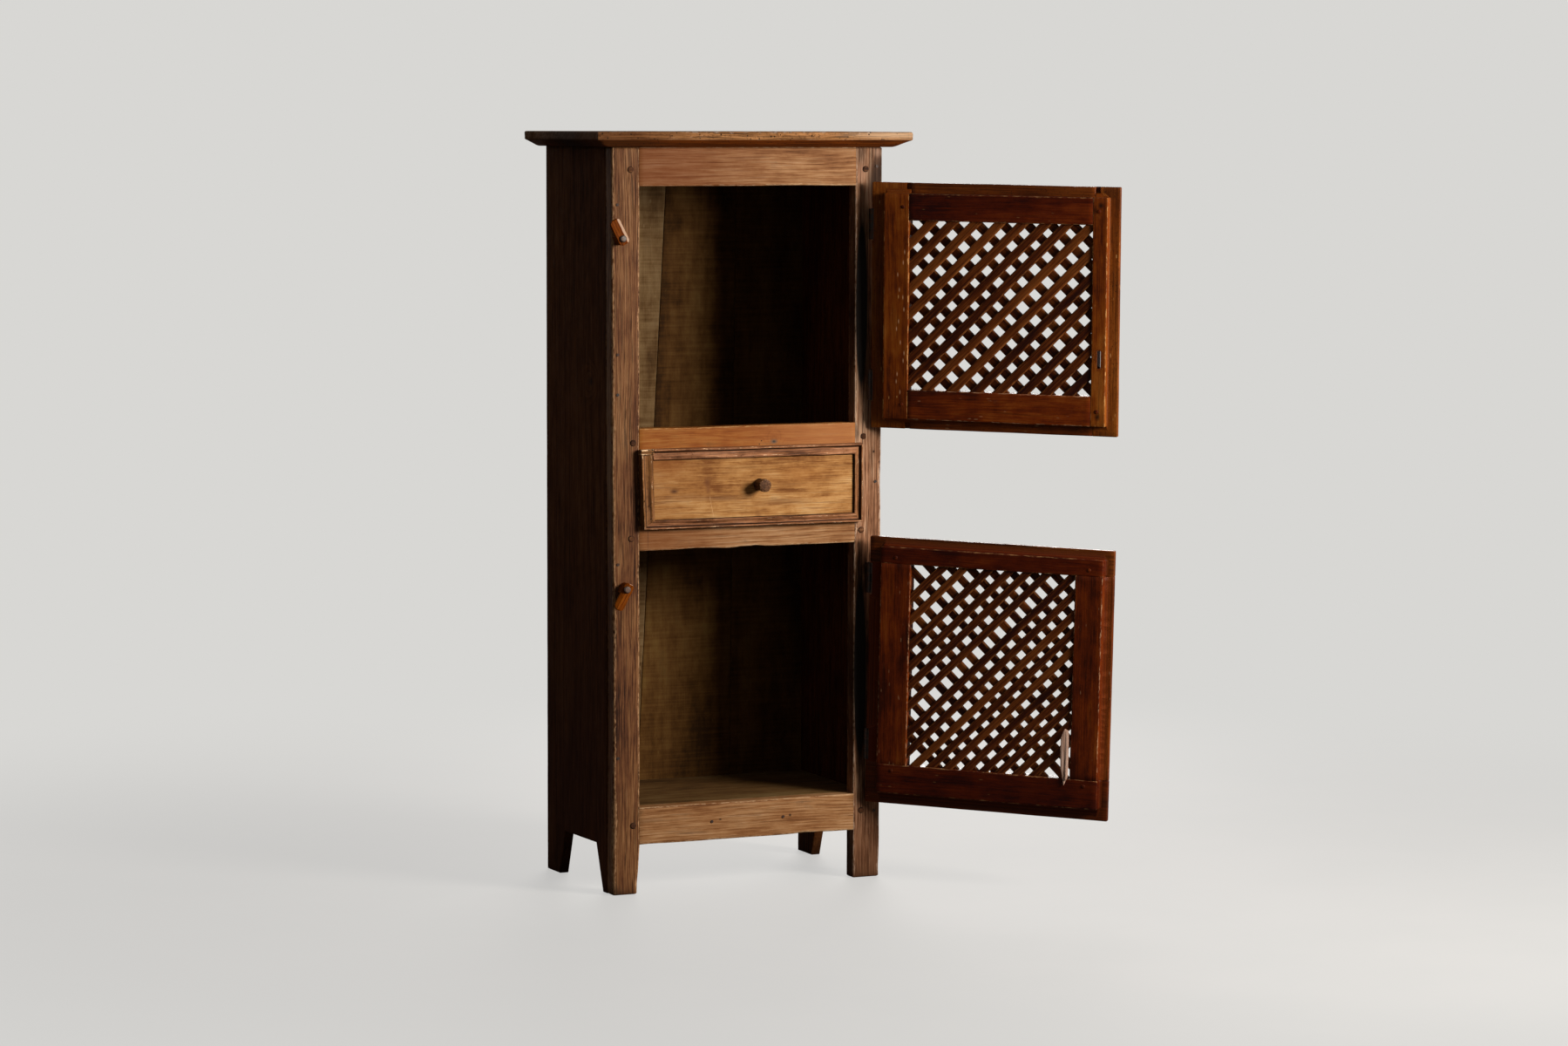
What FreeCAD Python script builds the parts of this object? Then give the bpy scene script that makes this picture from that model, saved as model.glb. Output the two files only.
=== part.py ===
import FreeCAD, Part
import math
import os
from types import SimpleNamespace
from FreeCAD import Vector

# A rustic cupboard: a lattice door above, a drawer in the middle, a lattice door below.
# Millimetres. While it is built, X runs right from the left side board, Y runs back from
# the face of the posts and Z up from the floor. The last step moves everything so that
# the origin is on the floor, under the middle of the whole cabinet with its doors open.

# Carcass, in heights from the floor up
foot_height = 107.5
bottom_rail_height = 81.5
lower_opening_height = 559.5
lower_drawer_rail_height = 54.5
drawer_opening_height = 158.0
upper_drawer_rail_height = 52.0
upper_opening_height = 520.0
top_rail_height = 84.0
top_thickness = 33.0

carcass_width = 639.5
carcass_depth = 389.0
post_width = 64.0
post_depth = 34.0
left_foot_taper = 6.0
side_thickness = 22.0
back_thickness = 16.0
back_rebate_width = 10.0
back_height_over_floor = 150.0

# Cut-out between the feet of a side board
front_foot_depth = 55.0
front_foot_slant = 40.0
rear_foot_depth = 74.0
rear_foot_slant = 35.0
cutout_front_height = 103.0
cutout_rear_height = 100.0

# Top board
side_overhang = 50.5
front_overhang = 49.0
fascia_height = 18.0
bevel_run = 35.0
bevel_swell = 2.0

# Shelf boards
shelf_thickness = 16.0
floor_thickness = 18.0
housing_depth = 6.0
shelf_below_rail = 29.0
guide_width = 24.0
guide_height = 30.0

# Back boards, with a slanted seam on the left
left_seam_top = 286.0
left_seam_bottom = 209.0
left_seam_gap = 2.5
right_seam_top = 453.5
right_seam_bottom = 438.5
right_seam_gap = 0.8

# Joints and fasteners
tenon_length = 44.0
tenon_thickness = 11.0
tenon_shoulder = 9.0
peg_radius = 6.5
peg_insets = {
    "bottom_rail": (15.5, 19.0),
    "lower_drawer_rail": (19.5, 16.5),
    "upper_drawer_rail": (15.0, 21.0),
    "top_rail": (21.0, 24.0),
}
peg_drops = {"bottom_rail": -2.5, "lower_drawer_rail": 0.0, "upper_drawer_rail": 4.5, "top_rail": 6.0}
peg_proud = 0.6
fit_clearance = 0.05
nail_radius = 1.6
nail_head_radius = 3.2
nail_head_height = 1.2
face_nail_length = 46.0
face_nail_inset = 13.5
upper_nail_drop = 39.0
middle_nail_rise = 160.0
low_nail_rise = 74.0
button_nail_drop = 27.5
floor_nail_rise = 111.0
back_nail_length = 38.0
back_nail_inset = 30.0
top_nail_length = 60.0
rail_nail_length = 30.0

# Drawer
drawer_gap = 2.0
running_clearance = 0.3
front_thickness = 22.0
front_proud = 8.0
drawer_rear_gap = 35.0
drawer_side_thickness = 12.0
drawer_side_height = 140.0
drawer_bottom_thickness = 8.0
drawer_bottom_lift = 8.0
drawer_groove = 5.0
drawer_nail_length = 26.0

# Moulding round the drawer front
moulding_proud = 18.5
moulding_clearance = 0.4
left_moulding_width = 30.0
right_moulding_width = 20.0
top_moulding_width = 25.0
bottom_moulding_width = 20.5
left_moulding_overlap_top = 4.0
left_moulding_overlap_bottom = -2.0
right_moulding_overlap = 12.5
top_moulding_overlap = 8.0
bottom_moulding_overlap = 8.0
inner_bead_proud = 3.0
outer_bead_share = 0.42
inner_bead_share = 0.22
cove_depth_share = 0.22

# Knob
knob_offset = 22.0
knob_rise = 2.5
knob_length = 35.0
knob_cap_radius = 16.0
knob_neck_radius = 12.0
knob_foot_radius = 14.0
knob_shank_radius = 6.0
knob_rim_rounding = 4.0

# Doors
door_clearance = 0.3
lip_thickness = 14.0
lip_bevel = 4.0
rebate_depth = 17.0
slat_thickness = 7.0
lattice_setback = 3.5
groove_depth = 6.0
groove_clearance = 0.2
slat_entry = 5.0
door_tenon_length = 28.0
door_tenon_thickness = 9.0
door_peg_radius = 4.5

upper_lock_lip = 18.0
upper_hinge_lip = 28.5
upper_top_lip = 9.0
upper_bottom_lip = 10.0
upper_lock_gap = 3.0
upper_hinge_gap = 3.5
upper_top_gap = 13.5
upper_bottom_gap = 12.5
upper_lock_stile = 35.0
upper_hinge_stile = 57.5
upper_top_rail = 59.0
upper_bottom_rail = 65.0
upper_open_angle = 137.0
upper_axis_off_lip = 4.5
upper_seat_off_axis = 8.0
upper_top_hinge_inset = 60.0
upper_bottom_hinge_inset = 60.0
upper_axis_lean_x = 0.0
upper_axis_lean_y = -1.18

lower_lock_lip = 18.0
lower_hinge_lip = 25.0
lower_top_lip = 17.0
lower_bottom_lip = 17.0
lower_lock_gap = 2.0
lower_hinge_gap = 5.5
lower_top_gap = 2.0
lower_bottom_gap = 9.0
lower_lock_stile = 62.0
lower_hinge_stile = 68.5
lower_top_rail = 37.5
lower_bottom_rail = 64.5
lower_open_angle = 136.5
lower_axis_off_lip = 3.5
lower_seat_off_axis = 9.5
lower_top_hinge_inset = 62.0
lower_bottom_hinge_inset = 96.0
lower_axis_lean_x = 0.48
lower_axis_lean_y = -1.05

# Notches in the upper door's lip, and the latch slot in its lock stile
notch_width = 12.0
notch_height = 14.0
notch_depth = 8.0
latch_slot_width = 11.0
latch_slot_height = 38.0
latch_slot_inset = 23.0
latch_slot_drop = 390.0

# Lattices: pitch and width of the slats, and how far each one strays from its place
upper_slat_width = 20.0
upper_back_pitch = 36.9
upper_back_angle = 45.0
upper_back_stray_shares = (
    0, -0.02, -0.05, 0, -0.03, 0.02, 0.13, 0.19, 0.11, 0.09, 0.07, 0.1, 0.08, 0)
upper_front_pitch = 37.3
upper_front_angle = 43.5
upper_front_stray_shares = (
    0, -0.1, -0.08, -0.06, 0, 0.02, 0.1, 0.05, 0.04, 0.06, -0.05, 0, 0.05, 0.08)
lower_slat_width = 17.5
lower_back_pitch = 31.3
lower_back_angle = 45.5
lower_back_stray_shares = (
    0.12, 0, -0.1, -0.25, -0.35, -0.38, -0.5, -0.65, -0.63, -0.67, -0.3, -0.3, -0.36, -0.3, 0, 0.03)
lower_front_pitch = 33.4
lower_front_angle = 43.5
lower_front_stray_shares = (
    -0.1, -0.1, -0.1, -0.15, -0.2, -0.25, -0.2, -0.2, -0.1, -0.2, -0.2, -0.15, 0, 0.05, 0, -0.25)

# Splint nailed over the broken corner of the lower lattice
splint_width = 18.0
splint_length = 124.0
splint_thickness = 4.0
splint_from_stile = 3.0
splint_rail_lap = 14.0
splint_tip_share = 0.16

# Hinges
hinge_length = 66.0
hinge_barrel_radius = 5.2
hinge_axis_off_face = 11.0
hinge_leaf_thickness = 2.0
hinge_leaf_width = 24.0
hinge_pin_radius = 2.5
hinge_pin_clearance = 0.06
hinge_pin_head_radius = 3.6
hinge_pin_head_height = 1.5
hinge_knuckle_gap = 0.4
hinge_gain_gap = 2.5
screw_radius = 1.7
screw_head_radius = 3.4
screw_head_height = 1.0
screw_length = 16.0
screw_from_leaf_edge = 6.0

# Turn buttons
button_clearance = 0.3
button_thickness = 24.0
button_arm_relief = 15.2
button_hub_reach = 12.0
button_edge_bevel = 8.0
button_bevel_depth = 4.5
button_pin_radius = 2.4
button_pin_head_radius = 7.6
button_pin_head_height = 4.5
button_pin_depth = 26.0
upper_button_x = 16.0
upper_button_drop = 111.0
upper_button_width = 27.0
upper_button_shift = 1.0
upper_button_arm = 45.0
upper_button_heel = 14.0
upper_button_angle = 27.0
lower_button_x = 25.0
lower_button_drop = 80.0
lower_button_width = 23.0
lower_button_shift = -2.0
lower_button_arm = 48.0
lower_button_heel = 15.0
lower_button_angle = 152.0

# How far a cutting solid runs past what it cuts
overrun = 5.0

# Heights and places worked out from the sizes above
floor_top = foot_height + bottom_rail_height
lower_opening_top = floor_top + lower_opening_height
drawer_floor = lower_opening_top + lower_drawer_rail_height
drawer_ceiling = drawer_floor + drawer_opening_height
upper_opening_bottom = drawer_ceiling + upper_drawer_rail_height
upper_opening_top = upper_opening_bottom + upper_opening_height
under_top = upper_opening_top + top_rail_height
cabinet_height = under_top + top_thickness
opening_left = post_width
opening_right = carcass_width - post_width
back_face = carcass_depth - back_thickness
shelf_top = upper_opening_bottom - shelf_below_rail
shelf_levels = {
    "floor_board": (floor_top - floor_thickness, floor_top),
    "dust_board": (drawer_floor - shelf_thickness, drawer_floor),
    "upper_shelf": (shelf_top - shelf_thickness, shelf_top),
}
lip_back = -door_clearance
lip_front = lip_back - lip_thickness
body_back = lip_back + rebate_depth
lattice_back_face = body_back - lattice_setback
lattice_middle = lattice_back_face - slat_thickness
lattice_front_face = lattice_middle - slat_thickness


def block(x0, x1, y0, y1, z0, z1):
    return Part.makeBox(x1 - x0, y1 - y0, z1 - z0, Vector(x0, y0, z0))


def prism(points, travel):
    """A face through the points, pushed along a vector."""
    return Part.Face(Part.makePolygon(list(points) + [points[0]])).extrude(travel)


def front_plate(outline, y0, y1):
    """An outline of (x, z) points, as thick as y0 to y1."""
    return prism([Vector(x, y0, z) for x, z in outline], Vector(0, y1 - y0, 0))


def side_plate(outline, x0, x1):
    """An outline of (y, z) points, as thick as x0 to x1."""
    return prism([Vector(x0, y, z) for y, z in outline], Vector(x1 - x0, 0, 0))


def rod(start, direction, radius, length):
    return Part.makeCylinder(radius, length, start, direction)


def rounded_disc(start, direction, radius, length, rounding):
    """A short rod with its far rim rounded."""
    disc = rod(start, direction, radius, length)
    end = start + direction * length
    rim = [edge for edge in disc.Edges if edge.CenterOfMass.isEqual(end, fit_clearance)]
    return disc.makeFillet(rounding, rim)


def area(x0, x1, z0, z1):
    return SimpleNamespace(x0=x0, x1=x1, z0=z0, z1=z1)


def grown(region, by):
    return area(region.x0 - by, region.x1 + by, region.z0 - by, region.z1 + by)


def slab(region, y0, y1):
    return block(region.x0, region.x1, y0, y1, region.z0, region.z1)


def nail(point, direction, length, radius, head_radius, head_height):
    """A nail or screw whose head stands on the surface at the point."""
    shank = rod(point, direction, radius, length)
    head = rod(point, direction * -1, head_radius, head_height)
    return shank.fuse(head).removeSplitter()


def nail_hole(point, direction, length, radius):
    return rod(point, direction, radius + fit_clearance, length + fit_clearance)


def group(shapes):
    return Part.makeCompound(shapes)


def tenon_span(bottom, top):
    return bottom + tenon_shoulder, top - tenon_shoulder


# The face frame: two posts and four rails

rail_levels = {
    "bottom_rail": (foot_height, floor_top),
    "lower_drawer_rail": (lower_opening_top, drawer_floor),
    "upper_drawer_rail": (drawer_ceiling, upper_opening_bottom),
    "top_rail": (upper_opening_top, under_top),
}
tenon_front = (post_depth - tenon_thickness) / 2
tenon_back = tenon_front + tenon_thickness


def tenon(side, bottom, top):
    low, high = tenon_span(bottom, top)
    if side == "left":
        return block(opening_left - tenon_length, opening_left, tenon_front, tenon_back, low, high)
    return block(opening_right, opening_right + tenon_length, tenon_front, tenon_back, low, high)


def peg_places():
    """Front ends of the pegs: one through each tenon, near half the rail's height."""
    places = []
    for name, (bottom, top) in rail_levels.items():
        left_inset, right_inset = peg_insets[name]
        for x in (opening_left - left_inset, opening_right + right_inset):
            places.append(Vector(x, -peg_proud, (bottom + top) / 2 - peg_drops[name]))
    return places


def frame_peg_holes():
    length = post_depth + peg_proud
    return [rod(p, Vector(0, 1, 0), peg_radius + fit_clearance, length) for p in peg_places()]


def frame_pegs():
    return group([rod(p, Vector(0, 1, 0), peg_radius, post_depth + peg_proud) for p in peg_places()])


def face_nail_places():
    """Nails through the posts into the front edges of the side boards."""
    left_heights = (
        upper_opening_top - upper_nail_drop,
        upper_opening_bottom + middle_nail_rise,
        upper_opening_bottom + low_nail_rise,
        lower_opening_top - button_nail_drop,
        floor_top + floor_nail_rise,
    )
    right_heights = (
        (upper_opening_top + under_top) / 2,
        (upper_opening_bottom + upper_opening_top) / 2,
        (drawer_floor + drawer_ceiling) / 2,
        (floor_top + lower_opening_top) / 2,
        (foot_height + floor_top) / 2,
    )
    left = [Vector(face_nail_inset, 0, z) for z in left_heights]
    return left + [Vector(carcass_width - face_nail_inset, 0, z) for z in right_heights]


def rail_nail_places():
    third = (opening_right - opening_left) / 3
    middle = (foot_height + floor_top) / 2
    return [Vector(opening_left + third, 0, middle), Vector(opening_right - third, 0, middle)]


def cut_all(shape, tools):
    return shape.cut(tools)


def rail(name):
    bottom, top = rail_levels[name]
    body = block(opening_left, opening_right, 0, post_depth, bottom, top)
    body = body.fuse([tenon("left", bottom, top), tenon("right", bottom, top)]).removeSplitter()
    holes = frame_peg_holes()
    if name == "bottom_rail":
        forward = Vector(0, 1, 0)
        holes += [nail_hole(p, forward, rail_nail_length, nail_radius) for p in rail_nail_places()]
    return cut_all(body, holes)


def post(side):
    if side == "left":
        outline = (
            (0, 0),
            (post_width - left_foot_taper, 0),
            (post_width, foot_height),
            (post_width, under_top),
            (0, under_top),
        )
    else:
        outline = (
            (opening_right, 0),
            (carcass_width, 0),
            (carcass_width, under_top),
            (opening_right, under_top),
        )
    body = front_plate(outline, 0, post_depth)
    holes = [tenon(side, bottom, top) for bottom, top in rail_levels.values()]
    holes += frame_peg_holes()
    forward = Vector(0, 1, 0)
    holes += [nail_hole(p, forward, face_nail_length, nail_radius) for p in face_nail_places()]
    holes += top_nail_holes()
    if side == "left":
        holes += [button_pin_hole(b) for b in buttons.values()]
    else:
        for door in doors.values():
            holes += post_screw_holes(door)
    return cut_all(body, holes)


# Side boards, back boards, shelves and top

def side_outline():
    return (
        (post_depth, 0),
        (front_foot_depth, 0),
        (front_foot_depth + front_foot_slant, cutout_front_height),
        (carcass_depth - rear_foot_depth - rear_foot_slant, cutout_rear_height),
        (carcass_depth - rear_foot_depth, 0),
        (carcass_depth, 0),
        (carcass_depth, under_top),
        (post_depth, under_top),
    )


def back_nail_places():
    """Nails through the back boards into the rear edges of the three shelves."""
    edges = (side_thickness, seam_x("left"), seam_x("right"), carcass_width - side_thickness)
    places = []
    for bottom, top in shelf_levels.values():
        for left, right in zip(edges, edges[1:]):
            for x in (left + back_nail_inset, right - back_nail_inset):
                places.append(Vector(x, carcass_depth, (bottom + top) / 2))
    return places


def seam_x(side):
    """Mean place of a seam, and so the border between two rows of nails."""
    if side == "left":
        return (left_seam_top + left_seam_bottom) / 2
    return (right_seam_top + right_seam_bottom) / 2


def back_nail_holes():
    backward = Vector(0, -1, 0)
    return [nail_hole(p, backward, back_nail_length, nail_radius) for p in back_nail_places()]


def top_nail_places():
    """Nails down through the top board into the posts and side boards, their heads flush."""
    half_side = side_thickness / 2
    rows = (post_depth / 2, carcass_depth / 2, back_face - half_side)
    seat = cabinet_height - nail_head_height
    return [Vector(x, y, seat) for x in (half_side, carcass_width - half_side) for y in rows]


def top_nail_holes():
    down = Vector(0, 0, -1)
    seat_depth = nail_head_height + overrun
    holes = [nail_hole(p, down, top_nail_length, nail_radius) for p in top_nail_places()]
    seat_radius = nail_head_radius + fit_clearance
    return holes + [rod(p, down * -1, seat_radius, seat_depth) for p in top_nail_places()]


def side_board(side):
    inner = side_thickness
    body = side_plate(side_outline(), 0, side_thickness)
    housings = [
        block(inner - housing_depth, inner + overrun, post_depth - overrun, back_face, low, high)
        for low, high in shelf_levels.values()
    ]
    rebate = block(
        inner - back_rebate_width, inner + overrun, back_face, carcass_depth + overrun,
        back_height_over_floor, under_top + overrun)
    body = body.cut(housings + [rebate])
    if side == "right":
        body = body.mirror(Vector(carcass_width / 2, 0, 0), Vector(1, 0, 0))
    holes = [nail_hole(p, Vector(0, 1, 0), face_nail_length, nail_radius) for p in face_nail_places()]
    holes += top_nail_holes()
    return cut_all(body, holes)


def shelf(name):
    low, high = shelf_levels[name]
    left = side_thickness - housing_depth
    body = block(left, carcass_width - left, post_depth, back_face, low, high)
    return cut_all(body, back_nail_holes())


def drawer_guide(side):
    left = opening_left - guide_width if side == "left" else opening_right
    return block(left, left + guide_width, post_depth, back_face, drawer_floor, drawer_floor + guide_height)


def back_board(place):
    """One of three vertical boards; both seams slant."""
    ends = {
        "left": (
            (side_thickness - back_rebate_width, side_thickness - back_rebate_width),
            (left_seam_bottom - left_seam_gap / 2, left_seam_top - left_seam_gap / 2),
        ),
        "middle": (
            (left_seam_bottom + left_seam_gap / 2, left_seam_top + left_seam_gap / 2),
            (right_seam_bottom - right_seam_gap / 2, right_seam_top - right_seam_gap / 2),
        ),
        "right": (
            (right_seam_bottom + right_seam_gap / 2, right_seam_top + right_seam_gap / 2),
            (carcass_width - side_thickness + back_rebate_width,) * 2,
        ),
    }
    (left_low, left_high), (right_low, right_high) = ends[place]
    outline = (
        (left_low, back_height_over_floor),
        (right_low, back_height_over_floor),
        (right_high, under_top),
        (left_high, under_top),
    )
    return cut_all(front_plate(outline, back_face, carcass_depth), back_nail_holes())


def bevel_cutter(edge_start, along, inward, length):
    """What the swelled bevel takes off under the top board's edge, along one side."""
    up = Vector(0, 0, 1)
    foot = edge_start + inward * bevel_run + up * under_top
    lip = edge_start + up * (cabinet_height - fascia_height)
    chord_middle = (foot + lip) * 0.5
    normal = up * bevel_run + inward * (cabinet_height - fascia_height - under_top)
    normal.normalize()
    arc = Part.Arc(lip, chord_middle - normal * bevel_swell, foot).toShape()
    out_lip = lip - inward * overrun
    out_foot = edge_start - inward * overrun + up * (under_top - overrun)
    low_foot = foot - up * overrun
    lines = [Part.makeLine(a, b) for a, b in (
        (foot, low_foot), (low_foot, out_foot), (out_foot, out_lip), (out_lip, lip))]
    return Part.Face(Part.Wire([arc] + lines)).extrude(along * length)


def top_board():
    left = -side_overhang
    right = carcass_width + side_overhang
    front = -front_overhang
    body = block(left, right, front, carcass_depth, under_top, cabinet_height)
    length_x = right - left + overrun * 2
    length_y = carcass_depth - front + overrun * 2
    cutters = [
        bevel_cutter(Vector(left - overrun, front, 0), Vector(1, 0, 0), Vector(0, 1, 0), length_x),
        bevel_cutter(Vector(left, front - overrun, 0), Vector(0, 1, 0), Vector(1, 0, 0), length_y),
        bevel_cutter(Vector(right, front - overrun, 0), Vector(0, 1, 0), Vector(-1, 0, 0), length_y),
    ]
    return cut_all(body, cutters + top_nail_holes())


def carcass_nails():
    sizes = (nail_radius, nail_head_radius, nail_head_height)
    nails = [nail(p, Vector(0, 1, 0), face_nail_length, *sizes) for p in face_nail_places()]
    nails += [nail(p, Vector(0, 1, 0), rail_nail_length, *sizes) for p in rail_nail_places()]
    nails += [nail(p, Vector(0, -1, 0), back_nail_length, *sizes) for p in back_nail_places()]
    nails += [nail(p, Vector(0, 0, -1), top_nail_length, *sizes) for p in top_nail_places()]
    return group(nails)


# The drawer

front_area = area(
    opening_left + drawer_gap, opening_right - drawer_gap,
    drawer_floor + drawer_gap, drawer_ceiling - drawer_gap)
front_face = -front_proud
front_back = front_face + front_thickness
drawer_rear = back_face - drawer_rear_gap
side_bottom = drawer_floor + running_clearance
side_top = side_bottom + drawer_side_height
bottom_low = side_bottom + drawer_bottom_lift
bottom_high = bottom_low + drawer_bottom_thickness
inner_left = front_area.x0 + drawer_side_thickness
inner_right = front_area.x1 - drawer_side_thickness
knob_x = (front_area.x0 + front_area.x1) / 2 + knob_offset
knob_z = (front_area.z0 + front_area.z1) / 2 + knob_rise
lap_front = front_back - front_thickness / 2


def drawer_side(side):
    """A side, grooved for the bottom, lapped into the back of the front."""
    left = front_area.x0 if side == "left" else inner_right
    body = block(left, left + drawer_side_thickness, lap_front, drawer_rear, side_bottom, side_top)
    groove = drawer_bottom()
    return cut_all(body, [groove] + drawer_nail_holes())


def drawer_bottom():
    return block(
        inner_left - drawer_groove, inner_right + drawer_groove,
        front_back - drawer_groove, drawer_rear, bottom_low, bottom_high)


def drawer_back():
    body = block(
        inner_left, inner_right, drawer_rear - drawer_side_thickness, drawer_rear,
        bottom_high, side_top - drawer_bottom_lift)
    return cut_all(body, drawer_nail_holes())


def drawer_front():
    body = slab(front_area, front_face, front_back)
    laps = [
        block(x0, x1, lap_front, front_back + overrun, side_bottom - overrun, side_top)
        for x0, x1 in (
            (front_area.x0 - overrun, inner_left), (inner_right, front_area.x1 + overrun))
    ]
    shank = rod(
        Vector(knob_x, front_face - overrun, knob_z), Vector(0, 1, 0),
        knob_shank_radius + fit_clearance, front_thickness + overrun * 2)
    return cut_all(body, laps + [drawer_bottom(), shank] + drawer_nail_holes())


def drawer_nail_places():
    """Nails through the sides into the front and the back, with their directions."""
    places = []
    heights = [side_bottom + drawer_side_height * share for share in (0.3, 0.75)]
    rows = ((lap_front + front_back) / 2, drawer_rear - drawer_side_thickness / 2)
    for y in rows:
        for z in heights:
            places.append((Vector(front_area.x0, y, z), Vector(1, 0, 0)))
            places.append((Vector(front_area.x1, y, z), Vector(-1, 0, 0)))
    return places


def drawer_nail_holes():
    return [nail_hole(p, d, drawer_nail_length, nail_radius) for p, d in drawer_nail_places()]


def drawer_nails():
    """Their heads are as low as the gap beside the drawer allows."""
    head = drawer_gap / 3
    return group([
        nail(p, d, drawer_nail_length, nail_radius, nail_head_radius, head)
        for p, d in drawer_nail_places()])


def knob():
    """Turned: a foot, a waist and a rounded cap, with a shank through the front."""
    start = Vector(knob_x, front_face, knob_z)
    outward = Vector(0, -1, 0)
    third = knob_length / 3
    shank = rod(start, outward * -1, knob_shank_radius, front_thickness)
    foot = Part.makeCone(knob_foot_radius, knob_neck_radius, third, start, outward)
    waist = Part.makeCone(knob_neck_radius, knob_cap_radius, third, start + outward * third, outward)
    cap = rounded_disc(start + outward * (third * 2), outward, knob_cap_radius, third, knob_rim_rounding)
    return shank.fuse([foot, waist, cap])


def moulding_section(width):
    """Edges of the section: (distance from the outer edge, depth in Y)."""
    outer = width * outer_bead_share
    inner = width * inner_bead_share
    crest = -moulding_proud
    shoulder = crest + outer / 2
    inner_top = front_face - inner_bead_proud
    cove_end = width - inner
    cove_depth = (cove_end - outer) * cove_depth_share
    cove_middle = ((outer + cove_end) / 2, (shoulder + inner_top) / 2 + cove_depth)
    back = -moulding_clearance
    arcs = (
        ((0, shoulder), (outer / 2, crest), (outer, shoulder)),
        ((outer, shoulder), cove_middle, (cove_end, inner_top)),
        ((cove_end, inner_top), (width - inner / 2, inner_top - inner / 2), (width, inner_top)),
    )
    lines = (((width, inner_top), (width, back)), ((width, back), (0, back)), ((0, back), (0, shoulder)))
    return arcs, lines


def moulding_bar(width, start, inward, along):
    """A length of moulding; its outer edge starts at the point."""
    def at(pair):
        return start + inward * pair[0] + Vector(0, pair[1], 0)

    arcs, lines = moulding_section(width)
    edges = [Part.Arc(at(a), at(b), at(c)).toShape() for a, b, c in arcs]
    edges += [Part.makeLine(at(a), at(b)) for a, b in lines]
    return Part.Face(Part.Wire(edges)).extrude(along)


def mouldings():
    """Four mitred lengths that lap over the edges of the drawer front."""
    left_low = opening_left - left_moulding_overlap_bottom
    left_high = opening_left - left_moulding_overlap_top
    right = opening_right + right_moulding_overlap
    low = drawer_floor - bottom_moulding_overlap
    high = drawer_ceiling + top_moulding_overlap
    outer = ((left_low, low), (right, low), (right, high), (left_high, high))
    width = right - left_high
    lean = Vector(left_high - left_low, 0, high - low)

    def left_inner(z):
        return left_low + lean.x * (z - low) / lean.z + left_moulding_width, z

    inner = (
        left_inner(low + bottom_moulding_width),
        (right - right_moulding_width, low + bottom_moulding_width),
        (right - right_moulding_width, high - top_moulding_width),
        left_inner(high - top_moulding_width),
    )
    bars = {
        "bottom": moulding_bar(
            bottom_moulding_width, Vector(left_high, 0, low), Vector(0, 0, 1), Vector(width, 0, 0)),
        "right": moulding_bar(
            right_moulding_width, Vector(right, 0, low), Vector(-1, 0, 0), Vector(0, 0, high - low)),
        "top": moulding_bar(
            top_moulding_width, Vector(left_high, 0, high), Vector(0, 0, -1), Vector(width, 0, 0)),
        "left": moulding_bar(left_moulding_width, Vector(left_low, 0, low), Vector(1, 0, 0), lean),
    }
    board = slab(front_area, front_face, front_back)
    pieces = {}
    for index, name in enumerate(("bottom", "right", "top", "left")):
        after = (index + 1) % len(outer)
        mitred = front_plate(
            (outer[index], outer[after], inner[after], inner[index]), -moulding_proud - overrun, overrun)
        pieces[name] = bars[name].common(mitred).cut(board)
    return pieces


# The doors: a rebated frame round two crossed layers of slats

def door_layout(lock_lip, hinge_lip, top_lip, bottom_lip, gaps, members, bottom, top):
    """The lip, the body inside the rebate, and the light that the lattice fills."""
    lock_gap, hinge_gap, top_gap, bottom_gap = gaps
    lock_stile, hinge_stile, top_rail_width, bottom_rail_width = members
    lip = area(opening_left - lock_lip, opening_right + hinge_lip, bottom - bottom_lip, top + top_lip)
    body = area(opening_left + lock_gap, opening_right - hinge_gap, bottom + bottom_gap, top - top_gap)
    light = area(
        body.x0 + lock_stile, body.x1 - hinge_stile,
        body.z0 + bottom_rail_width, body.z1 - top_rail_width)
    return lip, body, light


def door(name, layout, offsets, hinge_insets, lean, open_angle):
    """A door's regions, its leaning hinge axis, and the floor of its hinge gains."""
    lip, body, light = layout
    axis_off_lip, seat_off_axis = offsets
    top_inset, bottom_inset = hinge_insets
    lean_x, lean_y = lean
    middle = (lip.z0 + lip.z1) / 2
    axis_point = Vector(lip.x1 + axis_off_lip, -hinge_axis_off_face, middle)
    axis = Vector(math.tan(math.radians(lean_x)), math.tan(math.radians(lean_y)), 1)
    axis.normalize()
    return SimpleNamespace(
        name=name, lip=lip, body=body, light=light, axis_point=axis_point, axis=axis,
        open_angle=open_angle, seat_x=axis_point.x - seat_off_axis,
        hinge_heights=(
            lip.z1 - top_inset - hinge_length / 2, lip.z0 + bottom_inset + hinge_length / 2))


doors = {
    "upper": door(
        "upper",
        door_layout(
            upper_lock_lip, upper_hinge_lip, upper_top_lip, upper_bottom_lip,
            (upper_lock_gap, upper_hinge_gap, upper_top_gap, upper_bottom_gap),
            (upper_lock_stile, upper_hinge_stile, upper_top_rail, upper_bottom_rail),
            upper_opening_bottom, upper_opening_top),
        (upper_axis_off_lip, upper_seat_off_axis),
        (upper_top_hinge_inset, upper_bottom_hinge_inset),
        (upper_axis_lean_x, upper_axis_lean_y), upper_open_angle),
    "lower": door(
        "lower",
        door_layout(
            lower_lock_lip, lower_hinge_lip, lower_top_lip, lower_bottom_lip,
            (lower_lock_gap, lower_hinge_gap, lower_top_gap, lower_bottom_gap),
            (lower_lock_stile, lower_hinge_stile, lower_top_rail, lower_bottom_rail),
            floor_top, lower_opening_top),
        (lower_axis_off_lip, lower_seat_off_axis),
        (lower_top_hinge_inset, lower_bottom_hinge_inset),
        (lower_axis_lean_x, lower_axis_lean_y), lower_open_angle),
}


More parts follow.
